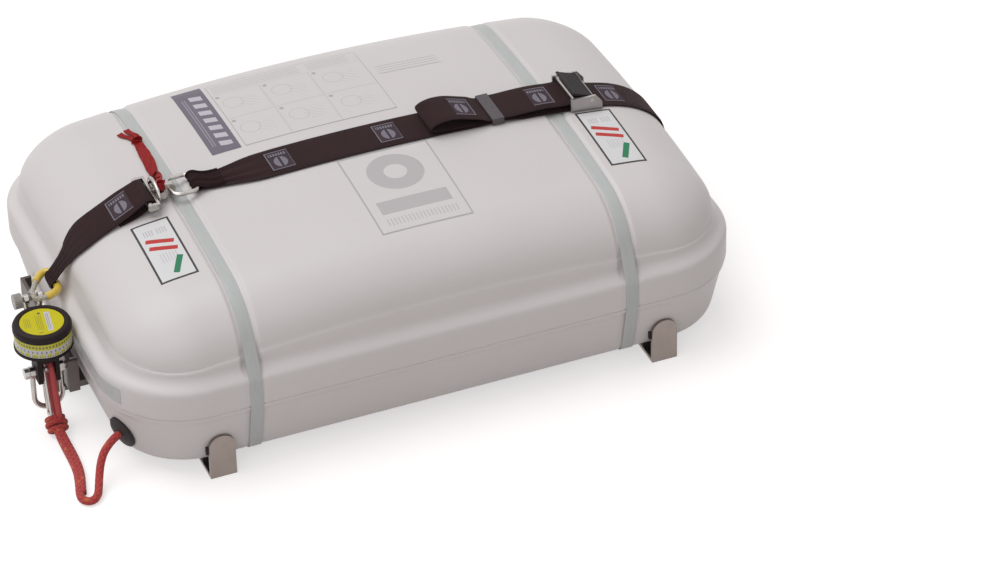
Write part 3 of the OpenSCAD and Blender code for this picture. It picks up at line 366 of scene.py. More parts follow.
# Canister shells: two white laminate mouldings with a smooth gel coat. The lid has a
# bead round its rim and a soft shoulder, the bottom half leans in towards its foot, and
# both are recessed where the bursting bands lie.
half_l, half_w, rim_r = 0.3675, 0.25, 0.099
flat_x, flat_y = half_l - rim_r, half_w - rim_r
bottom_z, seam_z, crown_z = 0.016, 0.085, 0.221
fall_l, fall_w = 0.027, 0.017
round_start, shoulder_reach = 0.0162, 0.0826
lid_wall, tray_wall = 0.0038, 0.0036
side_round, end_round = (0.067, 0.051), (0.082, 0.046)
groove_x, groove_half, groove_edge, groove_deep = 0.219, 0.0080, 0.0055, 0.0024


def limited(share):
    return min(1.0, max(0.0, share))


def eased(share):
    """The same share with a soft start and a soft end."""
    return share * share * (3 - 2 * share)


def crown_at(x, y):
    return crown_z - fall_l * (x / half_l) ** 2 - fall_w * (y / half_w) ** 2


def groove_at(x):
    """Share of the groove's depth, from 0 on the open shell to 1 under a band."""
    return eased(limited((groove_half + groove_edge - abs(abs(x) - groove_x)) / groove_edge))


def stops(end):
    """Places along a straight side, close together where the grooves are."""
    row = [-end + 2 * end * k / 44 for k in range(45)]
    for off in (6, 8, 9, 9.9, 10.8, 11.7, 12.6, 13.5, 15):
        row += [side * (groove_x + way * off * MM) for side in (-1, 1) for way in (-1, 1)]
    return sorted(set(round(x, 5) for x in row))


side_stops = stops(flat_x)
end_stops = [-flat_y + 2 * flat_y * k / 20 for k in range(21)]
corner_steps = 16


def corner(x, y, from_angle):
    """Places round a corner of the canister: its centre, and the way out from there."""
    angles = [math.radians(from_angle + 90 * k / corner_steps) for k in range(1, corner_steps)]
    return [((x, y), (math.cos(a), math.sin(a))) for a in angles]


columns = [((x, -flat_y), (0.0, -1.0)) for x in side_stops] + corner(flat_x, -flat_y, -90)
columns += [((flat_x, y), (1.0, 0.0)) for y in end_stops] + corner(flat_x, flat_y, 0)
columns += [((x, flat_y), (0.0, 1.0)) for x in reversed(side_stops)] + corner(-flat_x, flat_y, 90)
columns += [((-flat_x, y), (-1.0, 0.0)) for y in reversed(end_stops)]
columns += corner(-flat_x, -flat_y, 180)


def sunk(x, dx, depth=groove_deep):
    """How far the groove for a band lies in; there is none on the ends and corners."""
    return depth * groove_at(x) if dx == 0 else 0


def wall_ring(inset, z, depth):
    """A level ring round the shell, so far in from its greatest outline."""
    ring = []
    for (rx, ry), (dx, dy) in columns:
        r = rim_r - inset - sunk(rx, dx, depth)
        ring.append(Vector((rx + dx * r, ry + dy * r, z)))
    return ring


def shoulder_size(share):
    """Width and drop of the shoulder, from the sides (share 0) to the ends (share 1)."""
    return [side + (end - side) * share for side, end in zip(side_round, end_round)]


def shoulder_ring(inset):
    """A ring of the lid's shoulder, so far in from the greatest outline."""
    ring = []
    for (rx, ry), (dx, dy) in columns:
        width, drop = shoulder_size(dx * dx)
        t = limited((round_start + width - inset) / width)
        upright = math.sqrt(1 - t * t)
        sink = sunk(rx, dx)
        px, py = rx + dx * (rim_r - inset), ry + dy * (rim_r - inset)
        qx, qy = px - dx * sink * t, py - dy * sink * t
        ring.append(
            Vector((qx, qy, crown_at(px, py) - drop * (1 - upright) - sink * upright))
        )
    return ring


def ring_faces(rings, n, joined=False):
    """Faces between rings of n points; joined also ties the last ring to the first."""
    faces = []
    for k in range(rings if joined else rings - 1):
        a, b = k * n, (k + 1) % rings * n
        faces += [(a + i, a + (i + 1) % n, b + (i + 1) % n, b + i) for i in range(n)]
    return faces


def close_up(piece, thickness, angle):
    """Merges the seams, gives a moulding its wall, and shades sharp edges as edges."""
    merge(piece, 5e-6)
    if thickness:
        wall = piece.modifiers.new("wall", "SOLIDIFY")
        wall.thickness = thickness
        wall.offset = -1
        bpy.ops.object.modifier_apply(modifier="wall")
    bpy.ops.object.shade_smooth_by_angle(angle=math.radians(angle))


# From the lid's lower lip up over its bead: inset, height, and the depth of the bands'
# grooves there in tenths of a millimetre.
rim_rings = [
    (0.0018, 0.0861, 8), (0.0010, 0.0862, 8), (0.0003, 0.0868, 8), (0.0, 0.0880, 8),
    (0.0, 0.092, 8), (0.0, 0.106, 8), (0.0, 0.1150, 8), (0.0003, 0.1175, 8),
    (0.0010, 0.1196, 8), (0.0022, 0.1214, 8), (0.0038, 0.1229, 9), (0.0058, 0.1242, 11),
    (0.0078, 0.1256, 14), (0.0098, 0.1272, 17), (0.0116, 0.1291, 20), (0.0129, 0.1314, 22),
    (0.0136, 0.1338, 24),
]
valley_inset, valley_z = rim_rings[-1][:2]


def wall_up(share):
    """A ring between the valley over the bead and the foot of the shoulder."""
    ring = []
    for (rx, ry), (dx, dy) in columns:
        foot_r = rim_r - round_start
        top = crown_at(rx + dx * foot_r, ry + dy * foot_r) - shoulder_size(dx * dx)[1]
        upright = (share ** 6 - share) * 0.92 * dy * dy
        inset = valley_inset + (round_start - valley_inset) * (share + upright)
        r = rim_r - inset - sunk(rx, dx)
        ring.append(Vector((rx + dx * r, ry + dy * r, valley_z + (top - valley_z) * share)))
    return ring


lid_rings = [wall_ring(inset, z, deep * 0.0001) for inset, z, deep in rim_rings]
lid_rings += [wall_up(share) for share in (0.12, 0.25, 0.4, 0.55, 0.68, 0.78, 0.86, 0.93)]
shoulder_insets = [round_start + shoulder_reach * (k / 30) ** 1.7 for k in range(31)]
shoulder_insets[-1] = rim_r
lid_rings += [shoulder_ring(inset) for inset in shoulder_insets]
lid_verts = [v for ring in lid_rings for v in ring]
lid_faces = ring_faces(len(lid_rings), len(columns))
grid_start = len(lid_verts)
for y in end_stops:
    for x in side_stops:
        lid_verts.append(Vector((x, y, crown_at(x, y) - groove_deep * groove_at(x))))
nx = len(side_stops)
for r in range(len(end_stops) - 1):
    for c in range(nx - 1):
        v = grid_start + r * nx + c
        lid_faces.append((v, v + 1, v + 1 + nx, v + nx))
lid = new_piece("lid_moulding", lid_verts, lid_faces)
close_up(lid, lid_wall, 50)

above = partial(maths, "GREATER_THAN")
shell_material, tree, shader = blank_material("white_gel_coat")
tone = blend_colours(clouds(tree, 7.0, 4.0), (0.708, 0.668, 0.655), (0.758, 0.719, 0.706))
specks = times(above(clouds(tree, 46.0, 6.0, 0.65), 0.66), 0.10)
surface(
    shader, blend_colours(specks, tone, (0.64, 0.605, 0.59)), 0.42, Specular_IOR_Level=0.35
)
bump_from(shader, clouds(tree, 16.0, 2.0), 0.0012, 0.35)
finish_piece(lid, shell_material)
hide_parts("upper_shell")

wall_slope = 0.012 / 0.055
edge_r, edge_turn, edge_inset = 0.014, 76, 0.015
side_inset, tray_groove = 0.0024, 0.0008
foot_rings = [
    wall_ring(inset, z, tray_groove)
    for inset, z in (
        (0.0030, 0.0859), (0.0016, 0.0856), (0.0011, 0.0848), (0.0012, 0.0825), (0.0020, 0.0800)
    )
]
for z in (0.078, 0.074, 0.068, 0.06, 0.052, 0.045, 0.039, 0.034, 0.030):
    foot_rings.append(wall_ring(side_inset + (seam_z - z) * wall_slope, z, tray_groove))
for k in range(7):
    a = math.radians(edge_turn * (1 - k / 6))
    inset = edge_inset + edge_r - edge_r * math.sin(a)
    z = bottom_z + edge_r - edge_r * math.cos(a)
    foot_rings.append(wall_ring(inset, z, tray_groove * (1 - k / 6)))
foot_verts = [v for ring in foot_rings for v in ring]
foot_faces = ring_faces(len(foot_rings), len(columns))
last_ring = (len(foot_rings) - 1) * len(columns)
foot_faces.append(tuple(range(last_ring, last_ring + len(columns))))
tray = new_piece("tray_moulding", foot_verts, foot_faces)
close_up(tray, tray_wall, 50)
finish_piece(tray, shell_material)
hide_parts("lower_shell")

# Rubber parts: the painter's grommet, the pads on the rails and the liners of the clips
# are moulded in black rubber, and a pale grey seal lies between the shells. Their finish
# is a fine cloud of tone with a slight unevenness, as strip and machined bar have too.


def worked(
    name, dark, light, scale, rough, metal=0.0, bump=0.0, stretch=(1, 1, 1), on=(), **extra
):
    """A clouded finish, which the CAD pieces in on get at once."""
    material, tree, shader = blank_material(name)
    cloud = clouds(tree, scale, 5.0, 0.6, Scale=stretch)
    if bump:
        bump_from(shader, cloud, bump)
    surface(shader, blend_colours(cloud, dark, light), rough, Metallic=metal, **extra)
    dress(material, *on)
    return material


def dress(material, *names):
    """Gives CAD pieces whose shape is right their finish."""
    for name in names:
        piece = nodes[name]
        if not piece.material_slots:
            piece.data.materials.append(material)
        for each in piece.material_slots:
            each.material = material


worked(
    "black_rubber", (0.014, 0.010, 0.010), (0.032, 0.024, 0.024), 160, 0.60, bump=0.0002,
    on=("painter_grommet", "rail_pads", "clip_liners"), Specular_IOR_Level=0.3,
)
worked(
    "grey_seal", (0.34, 0.325, 0.315), (0.42, 0.405, 0.39), 160, 0.7, bump=0.0002,
    on=("rim_seal",),
)

# Bursting bands: pale, slightly glossy strapping drawn tight round both shells in their
# grooves and joined by a steel crimp on the back. It bridges the hollow over the bead.
band_plastic = worked(
    "band_plastic", (0.47, 0.49, 0.475), (0.57, 0.585, 0.57), 60, 0.42, bump=0.0001,
    stretch=(6, 1, 1),
)
band_w, band_t = 0.0145, 0.0012
profile = [(half_w - inset - deep * 0.0001, z) for inset, z, deep in rim_rings]
for inset in shoulder_insets:
    t = limited((round_start + side_round[0] - inset) / side_round[0])
    upright = math.sqrt(1 - t * t)
    y = half_w - inset
    z = crown_at(groove_x, y) - side_round[1] * (1 - upright) - groove_deep * upright
    profile.append((y - groove_deep * t, z))
profile += [
    (y, crown_at(groove_x, y) - groove_deep)
    for y in (0.14, 0.12, 0.10, 0.08, 0.06, 0.04, 0.02, 0.0)
]
profile += [
    (half_w - side_inset - (seam_z - z) * wall_slope - tray_groove, z)
    for z in (0.084, 0.070, 0.050, 0.030)
]
for k in range(9):
    a = math.radians(edge_turn * (1 - k / 8))
    y = half_w - edge_inset - edge_r + edge_r * math.sin(a)
    profile.append((y, bottom_z + edge_r - edge_r * math.cos(a)))
profile += [(0.12, bottom_z), (0.0, bottom_z)]
loop = sorted({(round(side * y, 6), round(z, 6)) for y, z in profile for side in (1, -1)})


def bend_of(a, b, c):
    """Above 0 where three points of a plane bend to the left, below 0 to the right."""
    return (b[0] - a[0]) * (c[1] - a[1]) - (b[1] - a[1]) * (c[0] - a[0])


def tight_round(points):
    """The shortest loop round points of the YZ plane, as a strap under tension lies."""
    halves = []
    for row in (points, points[::-1]):
        kept = []
        for p in row:
            while len(kept) > 1 and bend_of(kept[-2], kept[-1], p) <= 1e-12:
                kept.pop()
            kept.append(p)
        halves += kept[:-1]
    return halves


hull = tight_round(loop)
band_loop = []
for (y0, z0), (y1, z1) in zip(hull, hull[1:] + hull[:1]):
    parts = max(1, int(math.hypot(y1 - y0, z1 - z0) / 0.006))
    for k in range(parts):
        band_loop.append(Vector((0, y0 + (y1 - y0) * k / parts, z0 + (z1 - z0) * k / parts)))
band_section = (
    (-0.5, 0.15), (-0.5, 0.85), (-0.44, 1.0), (-0.2, 1.0), (0.2, 1.0),
    (0.44, 1.0), (0.5, 0.85), (0.5, 0.15), (0.2, 0.1), (-0.2, 0.1),
)
for name, x in (("left", -groove_x), ("right", groove_x)):
    verts = []
    count = len(band_loop)
    for i, point in enumerate(band_loop):
        way = (band_loop[(i + 1) % count] - band_loop[i - 1]).normalized()
        out = Vector((0, way.z, -way.y))
        for across, lift in band_section:
            verts.append(point + out * (lift * band_t) + Vector((x + across * band_w, 0, 0)))
    faces = ring_faces(count, len(band_section), joined=True)
    band = new_piece(f"bursting_band_{name}", verts, faces)
    close_up(band, 0, 50)
    finish_piece(band, band_plastic)
    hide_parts(f"burst_band_{name}")

# Cradle: bare stainless strip, cut, drilled and bent cold. Two cross rails carry the
# canister on rubber pads, and a spine bar with an upright bracket at each end is bolted
# across them.
worked(
    "bare_strip", (0.235, 0.195, 0.175), (0.345, 0.295, 0.270), 34, 0.36, 1.0, 0.00006,
    (1, 9, 1), ("cross_rail_left", "cross_rail_right"),
)
# The spine bar and the end brackets get a darker copy of the same bare strip: painted shade, for
# where they stand in shade under and beside the canister.
worked(
    "strip_painted_shade", (0.105, 0.088, 0.080), (0.150, 0.130, 0.120), 70, 0.42, 0.85, 0.00005,
    (1, 1, 1.6), ("spine_bar", "end_bracket_left", "end_bracket_right"),
)
worked(
    "bolt_steel", (0.42, 0.41, 0.40), (0.62, 0.61, 0.59), 120, 0.30, 1.0, 0.00004,
    on=("bracket_bolts", "band_crimps", "unit_pin", "unit_knife", "unit_spring", "buckle_pin"),
)

# Slip hook, lashing ring and shackles: cast and forged stainless, tumbled and polished.
# The cam buckle has a brushed frame, a black coated cam and a woven keeper.
polished = worked(
    "polished_steel", (0.36, 0.33, 0.31), (0.58, 0.55, 0.52), 140, 0.24, 1.0, 0.00012,
    on=("hook_body", "hook_tongue", "hook_pin", "lashing_ring", "unit_shackle",
        "link_thimble", "upper_shackle"),
)
worked(
    "brushed_steel", (0.33, 0.31, 0.30), (0.50, 0.48, 0.46), 60, 0.38, 1.0, 0.00005,
    (1, 8, 1), ("buckle_frame",),
)
worked(
    "cam_black", (0.010, 0.007, 0.008), (0.026, 0.020, 0.022), 90, 0.62, 0.0, 0.0001,
    on=("buckle_cam",), Specular_IOR_Level=0.22,
)
worked(
    "keeper_strip", (0.065, 0.055, 0.062), (0.110, 0.098, 0.108), 200, 0.7, bump=0.0002,
    on=("strap_keeper",),
)

# Contents: the folded raft in its cover, the bag, the coil and the painted gas cylinder
# with its brass head, closed in by the two shells.
for name, dark, light, scale, rough, metal, bump, piece in (
    ("raft_cover", (0.36, 0.38, 0.40), (0.52, 0.54, 0.56), 30, 0.7, 0, 0.0008, "raft_pack"),
    ("orange_bag", (0.70, 0.24, 0.03), (0.86, 0.36, 0.06), 60, 0.75, 0, 0.0006, "equipment_bag"),
    ("cylinder_paint", (0.12, 0.14, 0.15), (0.19, 0.21, 0.22), 40, 0.35, 0, 0.0001,
     "gas_cylinder"),
    ("valve_brass", (0.55, 0.38, 0.15), (0.76, 0.56, 0.27), 90, 0.3, 1, 0.0001, "inflation_head"),
    ("coiled_line", (0.28, 0.02, 0.02), (0.50, 0.05, 0.045), 180, 0.8, 0, 0.001, "painter_coil"),
):
    worked(name, dark, light, scale, rough, metal, bump, on=(piece,))

# Weak link: a short loop of thin red cord between the painter and the release unit's
# shackle. It parts under the raft's own pull once the canister has floated free.
worked(
    "link_cord", (0.42, 0.050, 0.055), (0.66, 0.125, 0.120), 420, 0.8, 0.0, 0.0012,
    (1, 1, 0.6), ("weak_link",),
)

# Shackle pin: stainless bar with a cross-cut knurl for the fingers. It is screwed by hand
# through the eyes of the upper shackle.
scaled, angle_of = partial(maths, "MULTIPLY_ADD"), partial(maths, "ARCTAN2")
pin_centre = Vector((-0.398, -0.033, 0.137))
knurl, tree, shader = blank_material("knurled_steel")
x, y, z = parts_of(object_place(tree, Location=-pin_centre))
round_pin, down_pin = times(angle_of(z, y), 14.0), times(x, 2600.0)
ridge = times(sine(plus(round_pin, down_pin)), sine(minus(round_pin, down_pin)))
# The knurl's grooves are painted dark against the steel of its ridges: painted shade in the cuts.
knurl_shaded_tone = blend_colours(scaled(ridge, 0.5, 0.5), (0.13, 0.12, 0.11), (0.50, 0.47, 0.44))
surface(shader, knurl_shaded_tone, 0.42, Metallic=0.9)
bump_from(shader, ridge, 0.0004)
dress(knurl, "upper_shackle_pin")

# Release unit: a round black nylon case with a lip at the top, a yellow printed disc on
# the lid and a yellow and white printed band round the side. The prints carry plain bars.
worked(
    "case_plastic", (0.010, 0.005, 0.006), (0.021, 0.012, 0.013), 110, 0.55, bump=0.00015,
    on=("unit_body", "unit_cap", "unit_block"), Specular_IOR_Level=0.18,
)
near, larger = partial(maths, "COMPARE"), partial(maths, "MAXIMUM")


def box_mask(u, v, left, right_edge, low, high):
    """1 inside a rectangle of the two coordinates, 0 outside it."""
    across = near(u, (left + right_edge) / 2, (right_edge - left) / 2)
    return times(across, near(v, (low + high) / 2, (high - low) / 2))


def any_of(masks):
    total = masks[0]
    for mask in masks[1:]:
        total = larger(total, mask)
    return total


def dashes(run, share):
    """1 over a share of each whole step of a coordinate, 0 between."""
    return below(fraction(run), share)


unit_x, unit_y = -0.4015, -0.075
print_grey, print_white = (0.10, 0.09, 0.06), (0.60, 0.59, 0.61)
disc_material, tree, shader = blank_material("unit_disc_print")
over_unit = object_place(tree, Location=(-unit_x, -unit_y, 0))
disc_turn = {"Vector": over_unit, "Rotation": (0, 0, math.radians(8))}
u, v, z = parts_of(node(tree, "ShaderNodeMapping", disc_turn).outputs[0])
white_bar = box_mask(u, v, 0.0045, 0.0105, -0.018, 0.017)
thin_marks = times(dashes(times(u, 520.0), 0.35), any_of([
    box_mask(u, v, -0.019, -0.0115, -0.008, 0.009),
    box_mask(u, v, 0.0055, 0.0095, -0.015, 0.014),
    box_mask(u, v, -0.007, 0.001, -0.0145, 0.0125),
]))
mark = any_of([
    box_mask(u, v, -0.0025, 0.0005, 0.0145, 0.0175),
    box_mask(u, v, -0.006, -0.001, -0.0200, -0.0190),
])
ground = blend_colours(clouds(tree, 300.0), (0.55, 0.49, 0.008), (0.68, 0.61, 0.016))
ground = blend_colours(white_bar, ground, print_white)
ground = blend_colours(times(thin_marks, 0.60), ground, print_grey)
surface(shader, blend_colours(mark, ground, print_grey), 0.5, Specular_IOR_Level=0.22)
dress(disc_material, "unit_label")

side_material, tree, shader = blank_material("unit_side_print")
x, y, z = parts_of(object_place(tree, Location=(-unit_x, -unit_y, 0)))
angle = angle_of(y, x)
white_band = near(z, 0.1150, 0.0026)
squares = times(near(z, 0.1100, 0.0020), above(fraction(times(angle, 3.82)), 0.40))
low_white = times(below(z, 0.1120), minus(1.0, squares))
tick_marks = any_of([
    times(near(z, height, half_high), dashes(times(angle, count), share))
    for height, half_high, count, share in (
        (0.1210, 0.0014, 8.5, 0.55), (0.1146, 0.0012, 6.2, 0.30), (0.1094, 0.0009, 11.0, 0.34)
    )
])
ground = blend_colours(clouds(tree, 260.0), (0.52, 0.50, 0.025), (0.64, 0.61, 0.045))
ground = blend_colours(larger(white_band, low_white), ground, print_white)
surface(shader, blend_colours(times(tick_marks, 0.85), ground, print_grey), 0.32)
dress(side_material, "unit_side_label")

# Short strap: 50 mm polyester webbing, nearly black, woven with a fine rib. It is sewn
# round the rope's eye and the slip hook's bar, and pulled narrow where it bears on them.
web_y, web_w, web_t = -0.010, 0.050, 0.0024
webbing_material, tree, shader = blank_material("black_webbing")
u, v = uv_parts(tree)
weave = times(sine(times(v, 2 * math.pi / 0.0016)), sine(times(u, 2 * math.pi / 0.0022)))
edge = above(unsigned(v), web_w / 2 - 0.0035)
cloth = blend_colours(clouds(tree, 42.0, 4.0), (0.014, 0.0020, 0.0022), (0.028, 0.0065, 0.0068))
# The raised crowns of the weave get a lighter colour: a painted highlight on the ribs.
cloth = blend_colours(times(scaled(weave, 0.5, 0.5), 0.35), cloth, (0.044, 0.017, 0.018))
cloth = blend_colours(times(edge, 0.35), cloth, (0.010, 0.006, 0.007))
surface(shader, cloth, 0.80, Specular_IOR_Level=0.22, Sheen_Weight=0.03)
bump_from(shader, weave, 0.00035)


def strip_piece(name, verts, uvs, around, angle):
    """A closed strip from rings of points round it, with a face at each end."""
    rings = len(verts) // around
    faces = ring_faces(rings, around)
    faces.append(tuple(reversed(range(around))))
    faces.append(tuple(range((rings - 1) * around, rings * around)))
    piece = new_piece(name, verts, faces, uvs)
    close_up(piece, 0, angle)
    return piece


def webbing(name, path, width=web_w, thick=web_t, narrow=None, cup=None):
    """A woven strip along points of the XZ plane. narrow gives its share of the full
    width at a distance along it, and cup how far a place across it is pushed out."""
    rows = 12
    verts, uvs = [], []
    for point, way, run in stations(path):
        out = Vector((-way.z, 0, way.x))
        share = narrow(run) if narrow else 1.0
        for face in (1, -1):
            for k in range(rows + 1):
                at = (k / rows - 0.5) * face
                w = at * width * share
                edge_thin = 1 - 0.55 * max(0.0, (abs(at) - 0.44) / 0.06)
                push = cup(run, at) if cup else 0.0
                middle = point + out * (thick / 2)
                q = middle + out * (face * thick / 2 * edge_thin + push)
                verts.append(Vector((q.x, web_y + w, q.z)))
                uvs.append((run, at * width))
    return strip_piece(name, verts, uvs, 2 * (rows + 1), 50)


def along(points):
    """A smooth path through (x, z) points in millimetres, at y = 0."""
    return smooth([Vector((x * MM, 0, z * MM)) for x, z in points], 3)


shoulder_foot = 16


def lay(x, lift=0.3):
    """A point (x, z) of the lid's middle line, in millimetres, lifted along its normal."""
    inset = half_l - abs(x) * MM
    t = limited((shoulder_foot * MM + end_round[0] - inset) / end_round[0])
    upright = math.sqrt(1 - t * t)
    z = crown_at(x * MM, 0) - end_round[1] * (1 - upright)
    return (x + math.copysign(1, x) * lift * t, z / MM + lift * upright)


def turn(cx, cz, r, start, end, n):
    """Points (x, z) round a bar, from one angle to another."""
    out = []
    for k in range(n + 1):
        a = math.radians(start + (end - start) * k / n)
        out.append((cx + r * math.cos(a), cz + r * math.sin(a)))
    return out


hook_bar = (-258.0, lay(-258)[1] + 11.5)
ring_z = hook_bar[1] + 1
foot = (-366.5, 136.0)


def taut(points):
    """Points of a strap under tension: it bridges the hollows between the given ones."""
    kept = []
    for p in points:
        while len(kept) > 1 and bend_of(kept[-2], kept[-1], p) >= 0:
            kept.pop()
        kept.append(p)
    out = []
    for (x0, z0), (x1, z1) in zip(kept, kept[1:]):
        parts = max(1, int(math.hypot(x1 - x0, z1 - z0) / 7))
        for k in range(parts):
            out.append((x0 + (x1 - x0) * k / parts, z0 + (z1 - z0) * k / parts))
    return out + [kept[-1]]


over_end = taut(
    [lay(-(half_l / MM - shoulder_foot - s), 1.0) for s in (3, 6, 10, 16, 24, 34, 46, 60, 70)]
    + [(hook_bar[0] - 3.0, hook_bar[1] + 3.6)]
)
short_path = along(
    turn(*foot, 5.2, -95, -260, 10)
    + over_end
    + turn(*hook_bar, 4.3, 100, -110, 12)
    + [lay(-270, 4.2), lay(-282, 2.7), lay(-294, 2.6)]
)


def pulled(run):
    """The short strap is drawn in at the rope's eye and a little at the hook's bar."""
    at_eye = max(0.0, 1 - max(0.0, run - 0.030) / 0.050)
    at_hook = max(0.0, 1 - abs(run - 0.165) / 0.035)
    return 1 - 0.52 * eased(at_eye) - 0.15 * at_hook


def pleats(run, at):
    """How far the short strap's folds at the rope's eye stand out."""
    s = max(0.0, 1 - max(0.0, run - 0.030) / 0.060)
    return 0.0009 * s * math.sin(at * 24 + 0.6) + 0.0004 * s * math.sin(at * 51)


strap_short = webbing("short_strap", short_path, narrow=pulled, cup=pleats)
finish_piece(strap_short, webbing_material)
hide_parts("strap_short")

# Hook bow: a bow of round polished wire that slides along the slip hook's body over the
# end of its tongue and keeps it shut, until it is knocked back by hand.
bpy.ops.object.select_all(action="DESELECT")
bpy.ops.curve.primitive_bezier_circle_add(
    radius=10.2 * MM, location=(-0.2452, web_y, (hook_bar[1] + 3.3) * MM),
    rotation=(0, math.pi / 2, 0),
)
bow = bpy.context.object
bow.name = "hook_bow"
bow.scale = (1.0, 1.66, 1.0)
bow.data.bevel_depth = 2.0 * MM
bow.data.bevel_resolution = 5
bow.data.resolution_u = 16
bpy.ops.object.convert(target="MESH")
bow = bpy.context.object
bpy.ops.object.transform_apply(location=True, rotation=True, scale=True)
close_up(bow, 0, 60)
finish_piece(bow, polished)
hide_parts("hook_link")

# Long strap: the same webbing. It is sewn round the lashing ring's bar, runs over the lid
# and under the keeper to the cam buckle at the right, and its spare end is folded back.
turn_x = 254.0
turn_r = 3.3
turn_z = lay(turn_x)[1] + turn_r + 2.5
keeper_low = lay(143)[1]
main_points = [lay(-168, 4.9), lay(-176, 5.1), lay(-184, 6.4)]
main_points += [(-191.5, ring_z + 2.6), (-195.5, ring_z + 4.6)]
main_points += turn(-199.0, ring_z, 5.1, 92, 268, 9) + [(-192, lay(-192)[1] + 1.6)]
main_points += [lay(x) for x in range(-180, 130, 20)]
main_points += [(142, keeper_low + 1.3), (158, keeper_low + 1.3)]
main_points += [lay(x) for x in (180, 200, 220, 240)]
main_points += turn(turn_x, turn_z, turn_r + 2.4, -90, 90, 8)
main_points += [(242, turn_z + turn_r + 2.9)]
tail_shape = ((228, 10), (212, 10.5), (197, 10.2), (180, 9), (167, 7.8))
tail_end = (
    (132, 10.5), (119, 14.2), (104, 18), (90, 18.8), (78, 16.5), (70.5, 12),
    (70, 7.6), (76, 4.8), (90, 3.8), (107, 3.5), (122, 3.3),
)
tail_top = keeper_low + 1.3 + 5.3
main_points += [(x, lay(x)[1] + d) for x, d in tail_shape]
main_points += [(158, tail_top), (142, tail_top)]
main_points += [(x, lay(x)[1] + d) for x, d in tail_end]


def gathered(run):
    """The long strap is folded narrow through the ring and spreads to its full width."""
    return 0.56 + 0.44 * eased(limited((run - 0.050) / 0.078))


def gathers(run, at):
    """How far the long strap's folds in the ring stand out."""
    s = max(0.0, 1 - max(0.0, run - 0.040) / 0.11)
    return 0.0016 * s * math.sin(at * 21) + 0.0007 * s * math.sin(at * 47 + 1)


main_path = along(main_points)
strap_main = webbing("long_strap", main_path, narrow=gathered, cup=gathers)
finish_piece(strap_main, webbing_material)
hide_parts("strap_main")

# End strap: a short length from the buckle's fixed bar down over the rim at the right,
# through the slot of the end bracket and back up behind itself.
end_bar = (turn_x + 15, lay(turn_x + 15)[1] + turn_r + 2.5)
rim_x = half_l / MM + 1.8
down = [
    (rim_x - 12.5, 138), (rim_x - 4, 129), (rim_x, 120), (rim_x, 100), (rim_x, 87),
    (rim_x + 1.2, 80), (rim_x + 4, 73), (376, 68), (379, 66.5),
]
end_path = along(
    turn(*end_bar, 3.4, 200, 262, 4)
    + [lay(end_bar[0] + 9, 0.8)]
    + [lay(half_l / MM - shoulder_foot - s) for s in (58, 45, 33, 23, 15, 9, 5, 2)]
    + down
)
strap_end = webbing("end_strap", end_path)
finish_piece(strap_end, webbing_material)
back_points = [
    (380.5, 65.6), (384.5, 67.5), (386, 73), (385, 81), (381, 89), (374.9, 98),
    (374.1, 106), (374.1, 118),
]
strap_back = webbing("end_strap_return", along(back_points))
finish_piece(strap_back, webbing_material)
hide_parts("strap_end")

# Woven patches: pale grey yarn in the webbing, a plain frame round a filled disc and
# rows of short floats, repeated along the straps.
patch_long, patch_wide, patch_thick = 0.028, 0.035, 0.0003
root = partial(maths, "SQRT")
patch_material, tree, shader = blank_material("woven_patch")
u, v = uv_parts(tree)
frame_line = minus(
    box_mask(u, v, 0.0006, 0.0274, -0.0170, 0.0170),
    box_mask(u, v, 0.0017, 0.0263, -0.0159, 0.0159),
)
across, reach = divided(plus(v, 0.0035), 1.25), minus(u, 0.0140)
disc = below(root(plus(times(across, across), times(reach, reach))), 0.0078)
hole = near(reach, 0.0, 0.0014)
floats = times(box_mask(u, v, 0.0040, 0.0240, 0.0085, 0.0132), dashes(divided(u, 0.0031), 0.62))
yarn = any_of([frame_line, times(disc, minus(1.0, hole)), floats])
fine = scaled(sine(times(v, 2 * math.pi / 0.0011)), 0.25, 0.75)
patch_tone = blend_colours(times(yarn, fine), (0.060, 0.040, 0.050), (0.33, 0.31, 0.37))
surface(shader, patch_tone, 0.8, Specular_IOR_Level=0.25)
bump_from(shader, sine(times(v, 2 * math.pi / 0.0013)), 0.0002)


def stretch_of(path, start, length, lift):
    """The part of a path from a distance on, lifted off the webbing's outer face."""
    return [
        point + Vector((-way.z, 0, way.x)) * lift
        for point, way, run in stations(path) if start <= run <= start + length
    ]


def run_at(path, x, first):
    """Distance along a path at which it first, or else last, passes a place."""
    run = found = 0.0
    for a, b in zip(path, path[1:]):
        run += (b - a).length
        if (a.x - x * MM) * (b.x - x * MM) <= 0:
            found = run
            if first:
                break
    return found


outer_lift, inner_lift = web_t + 0.00005, -0.00035
for name, path, x, first, lift in (
    ("short", short_path, -297, True, outer_lift),
    ("long_left", main_path, -117, True, outer_lift),
    ("long_middle", main_path, 7, True, outer_lift),
    ("end", end_path, 281, True, outer_lift),
    ("tail_top", main_path, 128, False, inner_lift),
    ("tail", main_path, 228, False, inner_lift),
):
    dense = stretch_of(path, run_at(path, x, first), patch_long, lift)
    piece = webbing(f"patch_{name}", dense, patch_wide, patch_thick)
    finish_piece(piece, patch_material)

# Prints on the lid: thin vinyl panels that follow the crown, stuck flat on the gel coat.
# They carry plain frames, bars and rings in place of words.


def lid_height(x, y):
    """Height of the lid's outside over a place."""
    cx, cy = min(flat_x, max(-flat_x, x)), min(flat_y, max(-flat_y, y))
    r = math.hypot(x - cx, y - cy)
    width, drop = shoulder_size(((x - cx) / r) ** 2 if r > 1e-9 else 0.0)
    t = limited((round_start + width - (rim_r - r)) / width)
    return crown_at(x, y) - drop * (1 - math.sqrt(1 - t * t))


